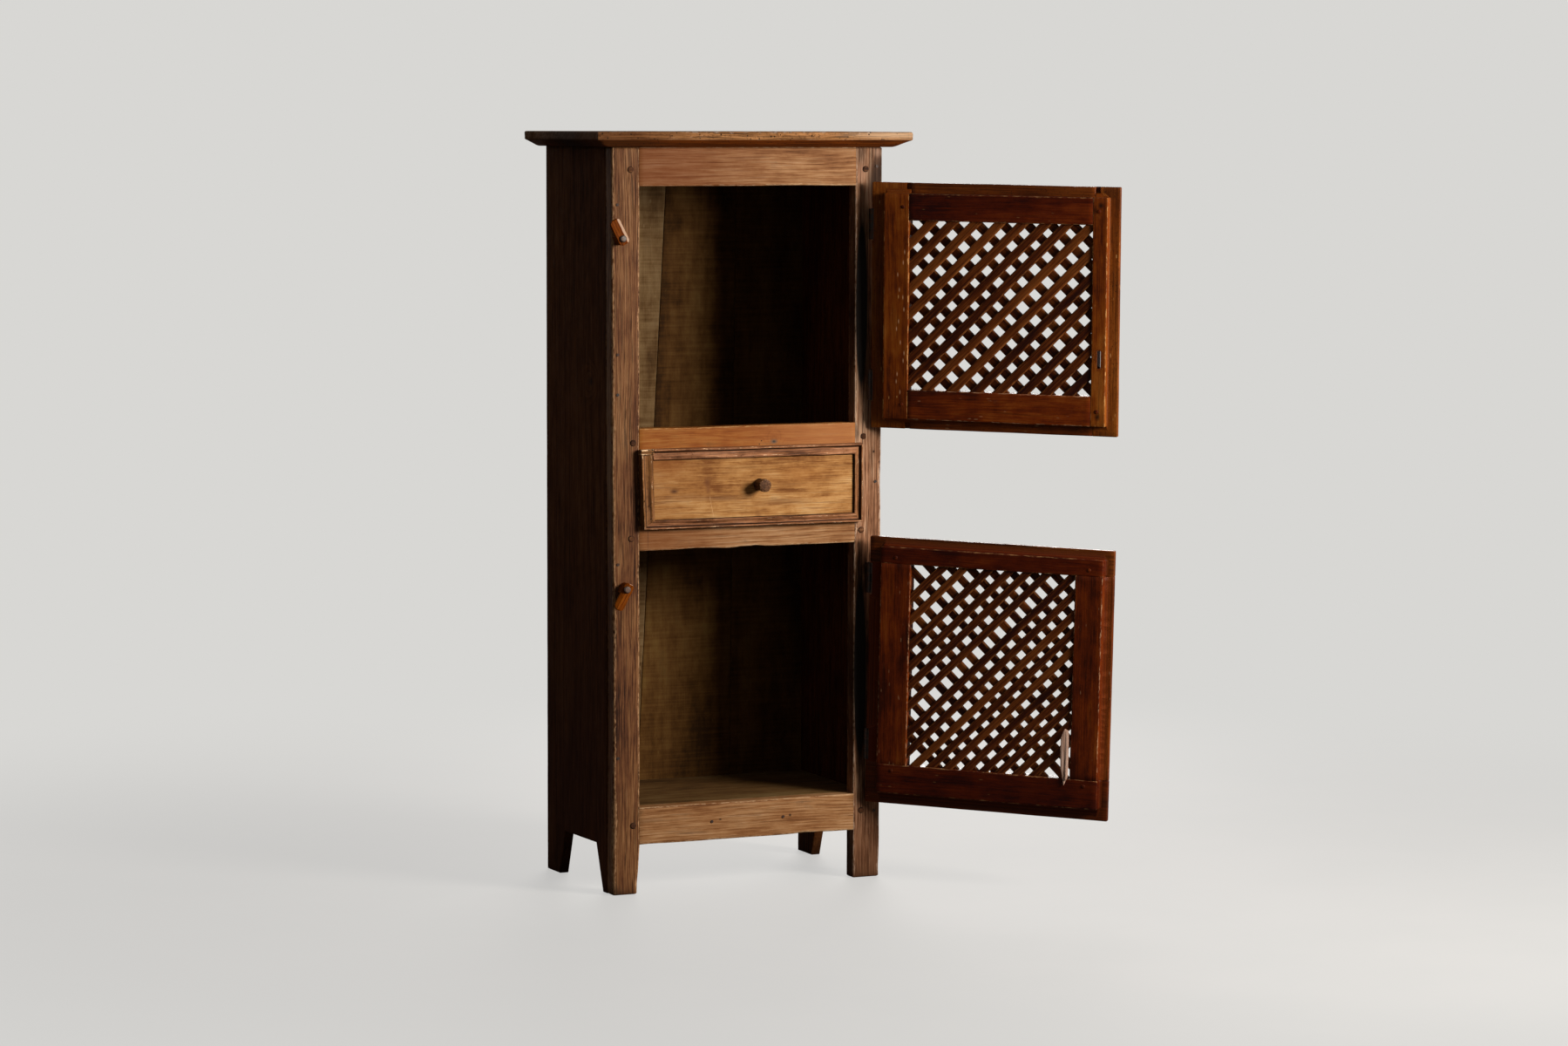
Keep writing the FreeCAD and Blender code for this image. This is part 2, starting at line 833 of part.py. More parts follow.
def swung(shape, a_door):
    """The door's piece, turned from shut to where the door stands open."""
    turned = shape.copy()
    turned.rotate(a_door.axis_point, a_door.axis, a_door.open_angle)
    return turned


def frame_member(lip_part, body_part):
    front = slab(lip_part, lip_front, lip_back)
    back = slab(body_part, lip_back, body_back)
    return front.fuse(back).removeSplitter()


def member_regions(a_door, stiles_run_through):
    """Lip and body regions of the four members."""
    lip, body, light = a_door.lip, a_door.body, a_door.light

    def parts(outer):
        if stiles_run_through:
            return {
                "lock_stile": area(outer.x0, light.x0, outer.z0, outer.z1),
                "hinge_stile": area(light.x1, outer.x1, outer.z0, outer.z1),
                "top_rail": area(light.x0, light.x1, light.z1, outer.z1),
                "bottom_rail": area(light.x0, light.x1, outer.z0, light.z0),
            }
        return {
            "lock_stile": area(outer.x0, light.x0, light.z0, light.z1),
            "hinge_stile": area(light.x1, outer.x1, light.z0, light.z1),
            "top_rail": area(outer.x0, outer.x1, light.z1, outer.z1),
            "bottom_rail": area(outer.x0, outer.x1, outer.z0, light.z0),
        }

    lips = parts(lip)
    bodies = parts(body)
    return {key: (lips[key], bodies[key]) for key in lips}


door_tenon_front = lattice_middle - door_tenon_thickness / 2
door_tenon_back = door_tenon_front + door_tenon_thickness


def corner_tenons(a_door, stiles_run_through):
    """Each corner's tenon, keyed by (member that carries it, member that takes it)."""
    body, light = a_door.body, a_door.light
    inset = tenon_shoulder
    tenons = {}
    for rail_key, z0, z1 in (("top_rail", light.z1, body.z1), ("bottom_rail", body.z0, light.z0)):
        for stile_key, x0, x1 in (("lock_stile", body.x0, light.x0), ("hinge_stile", light.x1, body.x1)):
            if stiles_run_through:
                left = x1 - door_tenon_length if stile_key == "lock_stile" else x0
                region = area(left, left + door_tenon_length, z0 + inset, z1 - inset)
                tenons[(rail_key, stile_key)] = region
            else:
                low = z0 if rail_key == "top_rail" else z1 - door_tenon_length
                region = area(x0 + inset, x1 - inset, low, low + door_tenon_length)
                tenons[(stile_key, rail_key)] = region
    return {key: slab(region, door_tenon_front, door_tenon_back) for key, region in tenons.items()}


def door_peg_places(a_door, stiles_run_through):
    """Back ends of the pegs, one in the middle of each corner tenon."""
    middles = [t.BoundBox.Center for t in corner_tenons(a_door, stiles_run_through).values()]
    return [Vector(m.x, body_back, m.z) for m in middles]


def door_pegs(a_door, stiles_run_through):
    length = lip_thickness + rebate_depth
    return group([
        rod(p, Vector(0, -1, 0), door_peg_radius, length)
        for p in door_peg_places(a_door, stiles_run_through)])


def lip_notches(a_door):
    """Open ends of the joints, seen in the lip beside the stiles."""
    lip, light = a_door.lip, a_door.light
    floor = lip_back - notch_depth
    corners = (
        (light.x1, lip.z1 - notch_height), (light.x0 - notch_width, lip.z1 - notch_height),
        (light.x1, lip.z0))
    return [
        block(x, x + notch_width, floor, lip_back + overrun, z, z + notch_height) for x, z in corners]


def lip_bevels(a_door):
    """The worn-off front edge all round the lip."""
    lip = a_door.lip
    low = lip_front - overrun
    high = lip_front + lip_bevel + overrun
    inward = lip_bevel + overrun
    length_x = lip.x1 - lip.x0 + overrun * 2
    length_z = lip.z1 - lip.z0 + overrun * 2
    bevels = []
    for x, side in ((lip.x0, 1), (lip.x1, -1)):
        out = x - overrun * side
        start = lip.z0 - overrun
        points = [Vector(out, low, start), Vector(x + inward * side, low, start), Vector(out, high, start)]
        bevels.append(prism(points, Vector(0, 0, length_z)))
    for z, side in ((lip.z0, 1), (lip.z1, -1)):
        out = z - overrun * side
        start = lip.x0 - overrun
        points = [Vector(start, low, out), Vector(start, low, z + inward * side), Vector(start, high, out)]
        bevels.append(prism(points, Vector(length_x, 0, 0)))
    return bevels


def hinge_gains(a_door):
    """Recesses in the edge of the lip, where the hinges sit."""
    reach = hinge_length / 2 + hinge_gain_gap
    return [
        block(
            a_door.seat_x, a_door.lip.x1 + overrun, lip_front - overrun, lip_back + overrun,
            height - reach, height + reach)
        for height in a_door.hinge_heights]


def latch_slot(a_door):
    left = a_door.body.x0 + latch_slot_inset - latch_slot_width
    top = a_door.lip.z1 - latch_slot_drop + latch_slot_height
    return block(
        left, left + latch_slot_width, lip_front - overrun, body_back + overrun,
        top - latch_slot_height, top)


def door_frame(a_door, stiles_run_through):
    """The four members, with their joints, groove and peg holes."""
    regions = member_regions(a_door, stiles_run_through)
    tenons = corner_tenons(a_door, stiles_run_through)
    groove = slab(
        grown(a_door.light, groove_depth), lattice_front_face - groove_clearance,
        lattice_back_face + groove_clearance)
    peg_length = lip_thickness + rebate_depth
    peg_holes = [
        rod(p, Vector(0, -1, 0), door_peg_radius + fit_clearance, peg_length)
        for p in door_peg_places(a_door, stiles_run_through)]
    members = {}
    for key, (lip_part, body_part) in regions.items():
        solid = frame_member(lip_part, body_part)
        own = [t for (carrier, _), t in tenons.items() if carrier == key]
        taken = [t for (_, taker), t in tenons.items() if taker == key]
        solid = solid.cut([groove])
        if own:
            solid = solid.fuse(own).removeSplitter()
        cutters = taken + peg_holes + lip_bevels(a_door)
        if a_door.name == "upper":
            cutters += lip_notches(a_door)
            if key == "lock_stile":
                cutters.append(latch_slot(a_door))
        if key == "hinge_stile" or not stiles_run_through:
            cutters += leaf_screw_holes(a_door) + hinge_gains(a_door)
        members[key] = solid.cut(cutters)
    return members


def lattice(a_door, angle, pitch, width, stray_shares, front, back):
    """Parallel slats across the light; their ends run into the groove."""
    light = a_door.light
    window = slab(grown(light, slat_entry), front, back)
    middle = Vector((light.x0 + light.x1) / 2, 0, (light.z0 + light.z1) / 2)
    run = Vector(math.cos(math.radians(angle)), 0, math.sin(math.radians(angle)))
    across = Vector(run.z, 0, -run.x)
    reach = light.x1 - light.x0 + light.z1 - light.z0
    slats = []
    first = -(len(stray_shares) - 1) / 2
    for index, stray_share in enumerate(stray_shares):
        offset = pitch * (first + index + stray_share)
        centre = middle + across * offset
        corners = [
            centre + run * (reach * s) / 2 + across * (width * t) / 2
            for s, t in ((-1, -1), (1, -1), (1, 1), (-1, 1))]
        strip = prism([Vector(c.x, front, c.z) for c in corners], Vector(0, back - front, 0))
        slats.append(strip.common(window))
    return group(slats)


def splint(a_door):
    """A pointed strip over the lattice's lower corner, on the back of the frame."""
    right = a_door.light.x0 + splint_from_stile + splint_width
    left = right - splint_width
    low = a_door.light.z0 - splint_rail_lap
    high = low + splint_length
    tip = splint_length * splint_tip_share
    middle = (left + right) / 2
    outline = (
        (middle, low), (left, low + tip), (left, high - tip * 2), (middle, high),
        (right, high - tip), (right, low + tip * 2))
    return front_plate(outline, body_back, body_back + splint_thickness)


# The hinges

def axis_at(a_door, height):
    """The point of the hinge axis at a height."""
    rise = (height - a_door.axis_point.z) / a_door.axis.z
    return a_door.axis_point + a_door.axis * rise


def barrel(a_door, low, high, radius):
    start = axis_at(a_door, low)
    return rod(start, a_door.axis, radius, (high - low) / a_door.axis.z)


def knuckle_spans(height):
    """Low and high ends of the post leaf's two knuckles and of the door leaf's one."""
    third = hinge_length / 3
    low = height - hinge_length / 2
    gap = hinge_knuckle_gap
    outer = ((low, low + third), (low + third * 2, low + hinge_length))
    inner = (low + third + gap, low + third * 2 - gap)
    return outer, inner


def pin_bore(a_door, height):
    reach = hinge_length / 2 + overrun
    return barrel(a_door, height - reach, height + reach, hinge_pin_radius + hinge_pin_clearance)


def knuckle_relief(a_door, low, high):
    """Room for the other leaf's knuckle to turn."""
    gap = hinge_knuckle_gap
    return barrel(a_door, low - gap, high + gap, hinge_barrel_radius + gap)


def post_leaf(a_door, height):
    """A plate on the post's face, with two knuckles on short webs."""
    outer, inner = knuckle_spans(height)
    low = height - hinge_length / 2
    high = height + hinge_length / 2
    centre = axis_at(a_door, height)
    half = hinge_leaf_thickness / 2
    solid = block(centre.x, centre.x + hinge_leaf_width, -hinge_leaf_thickness, 0, low, high)
    webs = [
        block(centre.x - half, centre.x + half, centre.y, 0, z0, z1) for z0, z1 in outer]
    knuckles = [barrel(a_door, z0, z1, hinge_barrel_radius) for z0, z1 in outer]
    solid = solid.fuse(webs + knuckles).removeSplitter()
    behind = block(
        centre.x - hinge_leaf_width, centre.x + hinge_leaf_width * 2, 0, hinge_barrel_radius * 2,
        low - overrun, high + overrun)
    return solid.cut([pin_bore(a_door, height), knuckle_relief(a_door, *inner), behind]
                     + [screw_hole(p, Vector(0, 1, 0)) for p in post_screw_places(a_door, height)])


def door_leaf(a_door, height):
    """A plate on the floor of a gain in the door's lip, with one knuckle on a web."""
    outer, inner = knuckle_spans(height)
    low = height - hinge_length / 2
    high = height + hinge_length / 2
    edge = a_door.seat_x
    centre = axis_at(a_door, height)
    half = hinge_leaf_thickness / 2
    plate = block(edge, edge + hinge_leaf_thickness, lip_front, lip_back, low, high)
    web = block(edge, centre.x, centre.y - half, centre.y + half, *inner)
    solid = plate.fuse([web, barrel(a_door, *inner, hinge_barrel_radius)]).removeSplitter()
    reliefs = [knuckle_relief(a_door, *span) for span in outer]
    return solid.cut([pin_bore(a_door, height)] + reliefs
                     + [screw_hole(p, Vector(-1, 0, 0)) for p in leaf_screw_places(a_door, height)]
                     + [screw_seat(p) for p in leaf_screw_places(a_door, height)])


def hinge_pin(a_door, height):
    """A pin with a flat head, tight in the post leaf."""
    low = height - hinge_length / 2
    high = height + hinge_length / 2
    head = barrel(a_door, high, high + hinge_pin_head_height, hinge_pin_head_radius)
    return barrel(a_door, low, high, hinge_pin_radius).fuse(head).removeSplitter()


def screw_hole(point, direction):
    start = point - direction * overrun
    return rod(start, direction, screw_radius + fit_clearance, screw_length + overrun + fit_clearance)


def screw_seat(point):
    """Room in a door leaf for a screw's head, flush with the plate."""
    return rod(point, Vector(1, 0, 0), screw_head_radius + fit_clearance, screw_head_height + overrun)


def screw(point, direction):
    return nail(point, direction, screw_length, screw_radius, screw_head_radius, screw_head_height)


def screw_heights(height):
    reach = hinge_length / 2 - screw_from_leaf_edge
    return (height - reach, height, height + reach)


def post_screw_places(a_door, height):
    x = axis_at(a_door, height).x + hinge_leaf_width - screw_from_leaf_edge
    return [Vector(x, -hinge_leaf_thickness, z) for z in screw_heights(height)]


def leaf_screw_places(a_door, height):
    """Where the heads of the two end screws seat, sunk in the plate."""
    x = a_door.seat_x + hinge_leaf_thickness - screw_head_height
    heights = screw_heights(height)
    return [Vector(x, (lip_front + lip_back) / 2, z) for z in (heights[0], heights[-1])]


def post_screw_holes(a_door):
    return [
        screw_hole(p, Vector(0, 1, 0))
        for height in a_door.hinge_heights for p in post_screw_places(a_door, height)]


def leaf_screw_holes(a_door):
    return [
        screw_hole(p, Vector(-1, 0, 0))
        for height in a_door.hinge_heights for p in leaf_screw_places(a_door, height)]


def hinge_post_screws():
    return group([
        screw(p, Vector(0, 1, 0))
        for a_door in doors.values()
        for height in a_door.hinge_heights for p in post_screw_places(a_door, height)])


def leaf_screws(a_door):
    return group([
        screw(p, Vector(-1, 0, 0))
        for height in a_door.hinge_heights for p in leaf_screw_places(a_door, height)])


# The turn buttons

buttons = {
    "upper": SimpleNamespace(
        centre=Vector(upper_button_x, 0, upper_opening_top - upper_button_drop),
        width=upper_button_width, shift=upper_button_shift,
        arm=upper_button_arm, heel=upper_button_heel, angle=upper_button_angle),
    "lower": SimpleNamespace(
        centre=Vector(lower_button_x, 0, lower_opening_top - lower_button_drop),
        width=lower_button_width, shift=lower_button_shift,
        arm=lower_button_arm, heel=lower_button_heel, angle=lower_button_angle),
}


def button_pin_hole(button):
    return rod(
        button.centre, Vector(0, 1, 0), button_pin_radius + fit_clearance, button_pin_depth + fit_clearance)


def turn_button(button):
    """A block on a pin; its arm is relieved behind, to pass over a shut door's lip."""
    left = button.shift - button.width / 2
    right = left + button.width
    back = -button_clearance
    front = back - button_thickness
    outline = ((left, -button.heel), (right, -button.heel), (right, button.arm), (left, button.arm))
    body = front_plate(outline, front, back)
    relief = block(
        left - overrun, right + overrun, -button_arm_relief, overrun,
        button_hub_reach, button.arm + overrun)
    bevel_end = front + button_bevel_depth
    bevel = prism(
        [Vector(right - button_edge_bevel, front, -button.heel - overrun),
         Vector(right + overrun, front, -button.heel - overrun),
         Vector(right + overrun, bevel_end, -button.heel - overrun),
         Vector(right, bevel_end, -button.heel - overrun)],
        Vector(0, 0, button.heel + button.arm + overrun * 2))
    hole = rod(
        Vector(0, front - overrun, 0), Vector(0, 1, 0), button_pin_radius + fit_clearance,
        button_thickness + overrun * 2)
    shape = body.cut([relief, bevel, hole])
    shape.rotate(Vector(0, 0, 0), Vector(0, 1, 0), -button.angle)
    shape.translate(button.centre)
    return shape


def button_pin(button):
    """A round-headed pin: the button turns on it."""
    length = button_thickness + button_clearance * 2
    shank = rod(
        button.centre - Vector(0, length, 0), Vector(0, 1, 0), button_pin_radius,
        length + button_pin_depth)
    head = rounded_disc(
        button.centre - Vector(0, length, 0), Vector(0, -1, 0), button_pin_head_radius,
        button_pin_head_height, button_pin_head_height * 0.7)
    return shank.fuse(head).removeSplitter()


# Everything put together

def carcass_nodes():
    nodes = {"top_board": top_board()}
    for side in ("left", "right"):
        nodes[side + "_post"] = post(side)
        nodes[side + "_side_board"] = side_board(side)
        nodes[side + "_drawer_guide"] = drawer_guide(side)
    for name in rail_levels:
        nodes[name] = rail(name)
    for name in shelf_levels:
        nodes[name] = shelf(name)
    for place in ("left", "middle", "right"):
        nodes["back_board_" + place] = back_board(place)
    nodes["frame_pegs"] = frame_pegs()
    nodes["carcass_nails"] = carcass_nails()
    nodes["hinge_post_screws"] = hinge_post_screws()
    for name, a_door in doors.items():
        heights = a_door.hinge_heights
        nodes[name + "_hinge_post_leaves"] = group([post_leaf(a_door, z) for z in heights])
        nodes[name + "_hinge_pins"] = group([hinge_pin(a_door, z) for z in heights])
    for name, button in buttons.items():
        nodes[name + "_button_pin"] = button_pin(button)
    return nodes


def drawer_nodes():
    nodes = {
        "drawer_front": drawer_front(),
        "drawer_left_side": drawer_side("left"),
        "drawer_right_side": drawer_side("right"),
        "drawer_back": drawer_back(),
        "drawer_bottom": drawer_bottom(),
        "drawer_knob": knob(),
        "drawer_nails": drawer_nails(),
    }
    for name, piece in mouldings().items():
        nodes["drawer_moulding_" + name] = piece
    return nodes


lattice_layers = {
    "upper": (
        ("lattice_back", 180 - upper_back_angle, upper_back_pitch, upper_back_stray_shares),
        ("lattice_front", upper_front_angle, upper_front_pitch, upper_front_stray_shares)),
    "lower": (
        ("lattice_back", 180 - lower_back_angle, lower_back_pitch, lower_back_stray_shares),
        ("lattice_front", lower_front_angle, lower_front_pitch, lower_front_stray_shares)),
}
slat_widths = {"upper": upper_slat_width, "lower": lower_slat_width}
layer_depths = {
    "lattice_back": (lattice_middle, lattice_back_face),
    "lattice_front": (lattice_front_face, lattice_middle),
}


def door_nodes(name):
    """The nodes of one door, in place where it stands open."""
    a_door = doors[name]
    stiles_run_through = name == "upper"
    nodes = {}
    for key, member in door_frame(a_door, stiles_run_through).items():
        nodes["{}_door_{}".format(name, key)] = member
    for layer, angle, pitch, stray_shares in lattice_layers[name]:
        front, back = layer_depths[layer]
        nodes["{}_door_{}".format(name, layer)] = lattice(
            a_door, angle, pitch, slat_widths[name], stray_shares, front, back)
    nodes[name + "_door_pegs"] = door_pegs(a_door, stiles_run_through)
    nodes[name + "_door_hinge_leaves"] = group([door_leaf(a_door, z) for z in a_door.hinge_heights])
    nodes[name + "_door_hinge_screws"] = leaf_screws(a_door)
    if name == "lower":
        nodes["lower_door_splint"] = splint(a_door)
    return {key: swung(shape, a_door) for key, shape in nodes.items()}


def button_nodes():
    return {name + "_turn_button": turn_button(button) for name, button in buttons.items()}


def bodies():
    """The nodes of each moving body, by name."""
    upper_button, lower_button = button_nodes().items()
    return {
        "carcass": carcass_nodes(),
        "upper_door": door_nodes("upper"),
        "lower_door": door_nodes("lower"),
        "drawer": drawer_nodes(),
        "upper_button": dict([upper_button]),
        "lower_button": dict([lower_button]),
    }


def origin_shift(shapes):
    """From the building place to the middle of the floor under the whole cabinet."""
    box = FreeCAD.BoundBox()
    for shape in shapes:
        box.add(shape.BoundBox)
    return Vector(-box.Center.x, -box.Center.y, 0)


def main():
    os.makedirs("parts", exist_ok=True)
    nodes = {name: shape for body in bodies().values() for name, shape in body.items()}
    shift = origin_shift(nodes.values())
    for name, shape in nodes.items():
        shape.translate(shift)
        shape.exportStep(os.path.join("parts", name + ".step"))


main()
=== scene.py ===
import random
from math import copysign, cos, exp, hypot, pi, radians, sin, tan

import bmesh
import bpy
from mathutils import Matrix, Vector, noise


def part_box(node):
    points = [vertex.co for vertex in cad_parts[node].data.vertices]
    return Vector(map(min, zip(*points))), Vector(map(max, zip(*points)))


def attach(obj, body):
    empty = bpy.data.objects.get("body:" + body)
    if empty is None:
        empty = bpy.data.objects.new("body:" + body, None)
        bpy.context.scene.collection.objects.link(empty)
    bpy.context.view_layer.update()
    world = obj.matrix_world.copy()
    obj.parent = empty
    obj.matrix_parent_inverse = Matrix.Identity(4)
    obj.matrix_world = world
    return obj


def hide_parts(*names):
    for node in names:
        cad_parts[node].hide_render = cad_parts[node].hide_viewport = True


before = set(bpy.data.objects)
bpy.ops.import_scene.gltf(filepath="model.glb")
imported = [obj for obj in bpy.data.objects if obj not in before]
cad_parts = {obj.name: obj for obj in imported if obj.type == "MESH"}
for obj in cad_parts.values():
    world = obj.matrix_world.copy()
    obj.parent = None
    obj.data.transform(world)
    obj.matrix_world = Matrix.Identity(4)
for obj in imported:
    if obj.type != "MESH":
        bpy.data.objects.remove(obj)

# Objects of the start-up file go; the frame stays
for name in ("Cube", "Light", "Camera"):
    if name in bpy.data.objects:
        bpy.data.objects.remove(bpy.data.objects[name])
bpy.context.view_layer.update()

# Lengths below are millimetres in the carcass's own axes: X runs right from the left
# side, Y runs back from the posts' faces, Z runs up from the floor
MM = 0.001
ORIGIN = Vector(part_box("left_post")[0])
CARCASS = Matrix.Translation(ORIGIN) @ Matrix.Scale(MM, 4)

WIDTH, DEPTH, SIDE_TOP, TOP_FACE = 639.5, 389, 1617, 1650
POST_WIDTH, POST_BACK = 64, 34
RIGHT_POST = WIDTH - POST_WIDTH
SIDE_BOARD, BACK_FACE = 22, 373
DRAWER_FACE = -8

# With the doors shut, their lips stay clear of the posts' worn faces
POST_FACE, LIP_BACK = 0.6, -0.6
LIP_FRONT, DOOR_FRONT, DOOR_BACK = -14.3, -7, 16.7


def door_matrix(point, lean_x, lean_y, angle):
    """Turns a shut door's millimetres into its place at rest, standing open."""
    point = Vector(point)
    axis = Vector((tan(radians(lean_x)), tan(radians(lean_y)), 1)).normalized()
    turn = Matrix.Rotation(radians(angle), 4, axis)
    return CARCASS @ Matrix.Translation(point) @ turn @ Matrix.Translation(-point)


UPPER = door_matrix((608.5, -11, 1272.5), 0, -1.18, 137)
LOWER = door_matrix((604, -11, 468.75), 0.48, -1.05, 136.5)


# Meshes: every point carries its place along the grain, its wear, dirt, tone and rawness

class Shape:
    """Points and faces of a piece, with what the materials read."""

    def __init__(self):
        self.points, self.faces = [], []
        self.grain, self.marks = [], []

    def add(self, point, grain, wear=0, dirt=0, tone=0, raw=0):
        self.points.append(Vector(point))
        self.grain.append(Vector(grain))
        self.marks.append((wear, dirt, tone, raw))
        return len(self.points) - 1

    def bridge(self, *rings):
        """Quads between rings of equal length."""
        for one, two in zip(rings, rings[1:]):
            for i in range(len(one)):
                j = (i + 1) % len(one)
                self.faces.append((one[i], one[j], two[j], two[i]))

    def close(self, rings):
        """A solid of rings, from its first one to its last."""
        self.bridge(*rings)
        self.faces += [tuple(reversed(rings[0])), tuple(rings[-1])]
        return self


SHARP = radians(35)


def add_object(name, data):
    made = bpy.data.objects.new(name, data)
    bpy.context.scene.collection.objects.link(made)
    return made


def put_attributes(mesh, grain, marks):
    """Writes the grain's places, in metres, and the four marks of every point."""
    values = mesh.attributes.new("grain", "FLOAT_VECTOR", "POINT")
    values.data.foreach_set("vector", [c for place in grain for c in place])
    for index, label in enumerate(("wear", "dirt", "tone", "raw")):
        values = mesh.attributes.new(label, "FLOAT", "POINT")
        values.data.foreach_set("value", [mark[index] for mark in marks])


def declare(piece, body, node):
    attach(piece, body)
    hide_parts(node)


def finish_piece(name, shapes, material, node, body="carcass", matrix=CARCASS):
    """One object from the shapes, riding on its body and standing for its CAD node."""
    points, faces, grain, marks = [], [], [], []
    for shape in shapes:
        first = len(points)
        points += [matrix @ p for p in shape.points]
        faces += [tuple(first + i for i in face) for face in shape.faces]
        grain += [g * MM for g in shape.grain]
        marks += shape.marks
    mesh = bpy.data.meshes.new(name)
    mesh.from_pydata(points, [], faces)
    mesh.update()
    put_attributes(mesh, grain, marks)
    rebuilt = bmesh.new()
    rebuilt.from_mesh(mesh)
    bmesh.ops.recalc_face_normals(rebuilt, faces=rebuilt.faces)
    rebuilt.to_mesh(mesh)
    rebuilt.free()
    mesh.materials.append(material)
    mesh.shade_smooth()
    mesh.set_sharp_from_angle(angle=SHARP)
    piece = add_object(name, mesh)
    declare(piece, body, node)
    return piece


def at(value, t):
    return value(t) if callable(value) else value


def rough(seed, *where):
    """Smooth noise from -1 to 1."""
    return noise.noise(Vector(where).to_3d() + Vector((seed * 7.13, seed * 3.71, seed * 1.93)))


def gauss(t, place, reach):
    return exp(-((t - place) / reach) ** 2)


def uneven(level, *bumps):
    """An edge as a function of the length: a level with bumps of (height, place, reach)."""
    return lambda t: level + sum(height * gauss(t, place, reach) for height, place, reach in bumps)


def plank_shift(seed):
    """Where in the endless wood a piece is taken from, so that no two look alike."""
    draw = random.Random(seed)
    return Vector((draw.uniform(0, 9000), draw.uniform(0, 900), draw.uniform(0, 900)))


ARC_STEP = 30


def rounded_ring(u0, u1, v0, v1, radii, margin, inner):
    """(u, v, wear) round a rectangle with four rounded corners."""
    corners = (
        (u1 - radii[0], v0 + radii[0], -90, radii[0]), (u1 - radii[1], v1 - radii[1], 0, radii[1]),
        (u0 + radii[2], v1 - radii[2], 90, radii[2]), (u0 + radii[3], v0 + radii[3], 180, radii[3]))

    def on_arc(corner, step):
        u, v, start, radius = corner
        angle = radians(start + ARC_STEP * step)
        return u + radius * cos(angle), v + radius * sin(angle)

    ring = []
    for corner, following in zip(corners, corners[1:] + corners[:1]):
        arc = [on_arc(corner, step) for step in range(4)]
        ring += [(u, v, 1) for u, v in arc]
        a, b = Vector(arc[-1]), Vector(on_arc(following, 0))
        span = (b - a).length
        edge = min(margin, span * 0.3) / max(span, 0.001)
        for k in range(inner + 2):
            p = a.lerp(b, edge + (1 - 2 * edge) * k / (inner + 1))
            ring.append((p.x, p.y, 0))
    return ring


DIRT_REACH = 60


def bar(axis, low, high, u, v, seed, radius=2, wobble=0.4, step=12, margin=5, inner=2, chips=(),
        tone=0, raw=0, dirt_low=0, dirt_high=0, ends=1.5, bend=None, rub=1):
    """A hand-worked length of wood.

    u and v are its (low, high) across, numbers or functions of t, the place along it. radius is one
    number or one for each corner, and chips are (corner, place, size, reach).
    """
    shape = Shape()
    shift = plank_shift(seed)
    corner_radii = radius if isinstance(radius, tuple) else (radius,) * 4
    count = max(2, int(round((high - low) / step)))
    stations = [low + (high - low) * i / count for i in range(1, count)]
    eased = ((0, 1), (0.35, 0.35), (1, 0))
    levels = [(low + ends * share, inset) for share, inset in eased] + [(t, 0) for t in stations] + [
        (high - ends * share, inset) for share, inset in reversed(eased)]

    def ring_at(t, inset):
        w = [wobble * rough(seed + k * 11, t / 90, k * 3.1, 0.5) for k in range(4)]
        radii = []
        for k, r in enumerate(corner_radii):
            r *= 1 + 0.55 * rough(seed + 40 + k, t / 35, k, 0)
            r += sum(size * gauss(t, place, reach) for corner, place, size, reach in chips if corner == k)
            radii.append(max(0.25, r))
        cut_back = ends * inset
        u0, u1 = at(u[0], t) + w[0] + cut_back, at(u[1], t) + w[1] - cut_back
        v0, v1 = at(v[0], t) + w[2] + cut_back, at(v[1], t) + w[3] - cut_back
        limit = min(u1 - u0, v1 - v0) * 0.45
        return rounded_ring(u0, u1, v0, v1, [min(r, limit) for r in radii], margin, inner)

    def put(t, cu, cv, wear):
        point = {"x": (t, cu, cv), "y": (cu, t, cv), "z": (cu, cv, t)}[axis]
        dirt = (dirt_low * max(0, 1 - (t - low) / DIRT_REACH)
                + dirt_high * max(0, 1 - (high - t) / DIRT_REACH))
        if bend:
            point = bend(Vector(point), (t - low) / (high - low))
        return shape.add(point, Vector((t, cu, cv)) + shift, wear, dirt, tone, raw)

    rings = [[put(t, cu, cv, rub * max(wear, inset)) for cu, cv, wear in ring_at(t, inset)]
             for t, inset in levels]
    shape.bridge(*rings)
    for ring, first in ((rings[0], True), (rings[-1], False)):
        middle = sum((shape.points[i] for i in ring), Vector()) / len(ring)
        inward = []
        for i in ring:
            gap = middle - shape.points[i]
            move = gap * min(0.5, 3 / max(gap.length, 0.01))
            inward.append(shape.add(
                shape.points[i] + move, shape.grain[i], 0, max(dirt_low, dirt_high), tone, raw))
        shape.bridge(*((inward, ring) if first else (ring, inward)))
        shape.faces.append(tuple(reversed(inward)) if first else tuple(inward))
    return shape


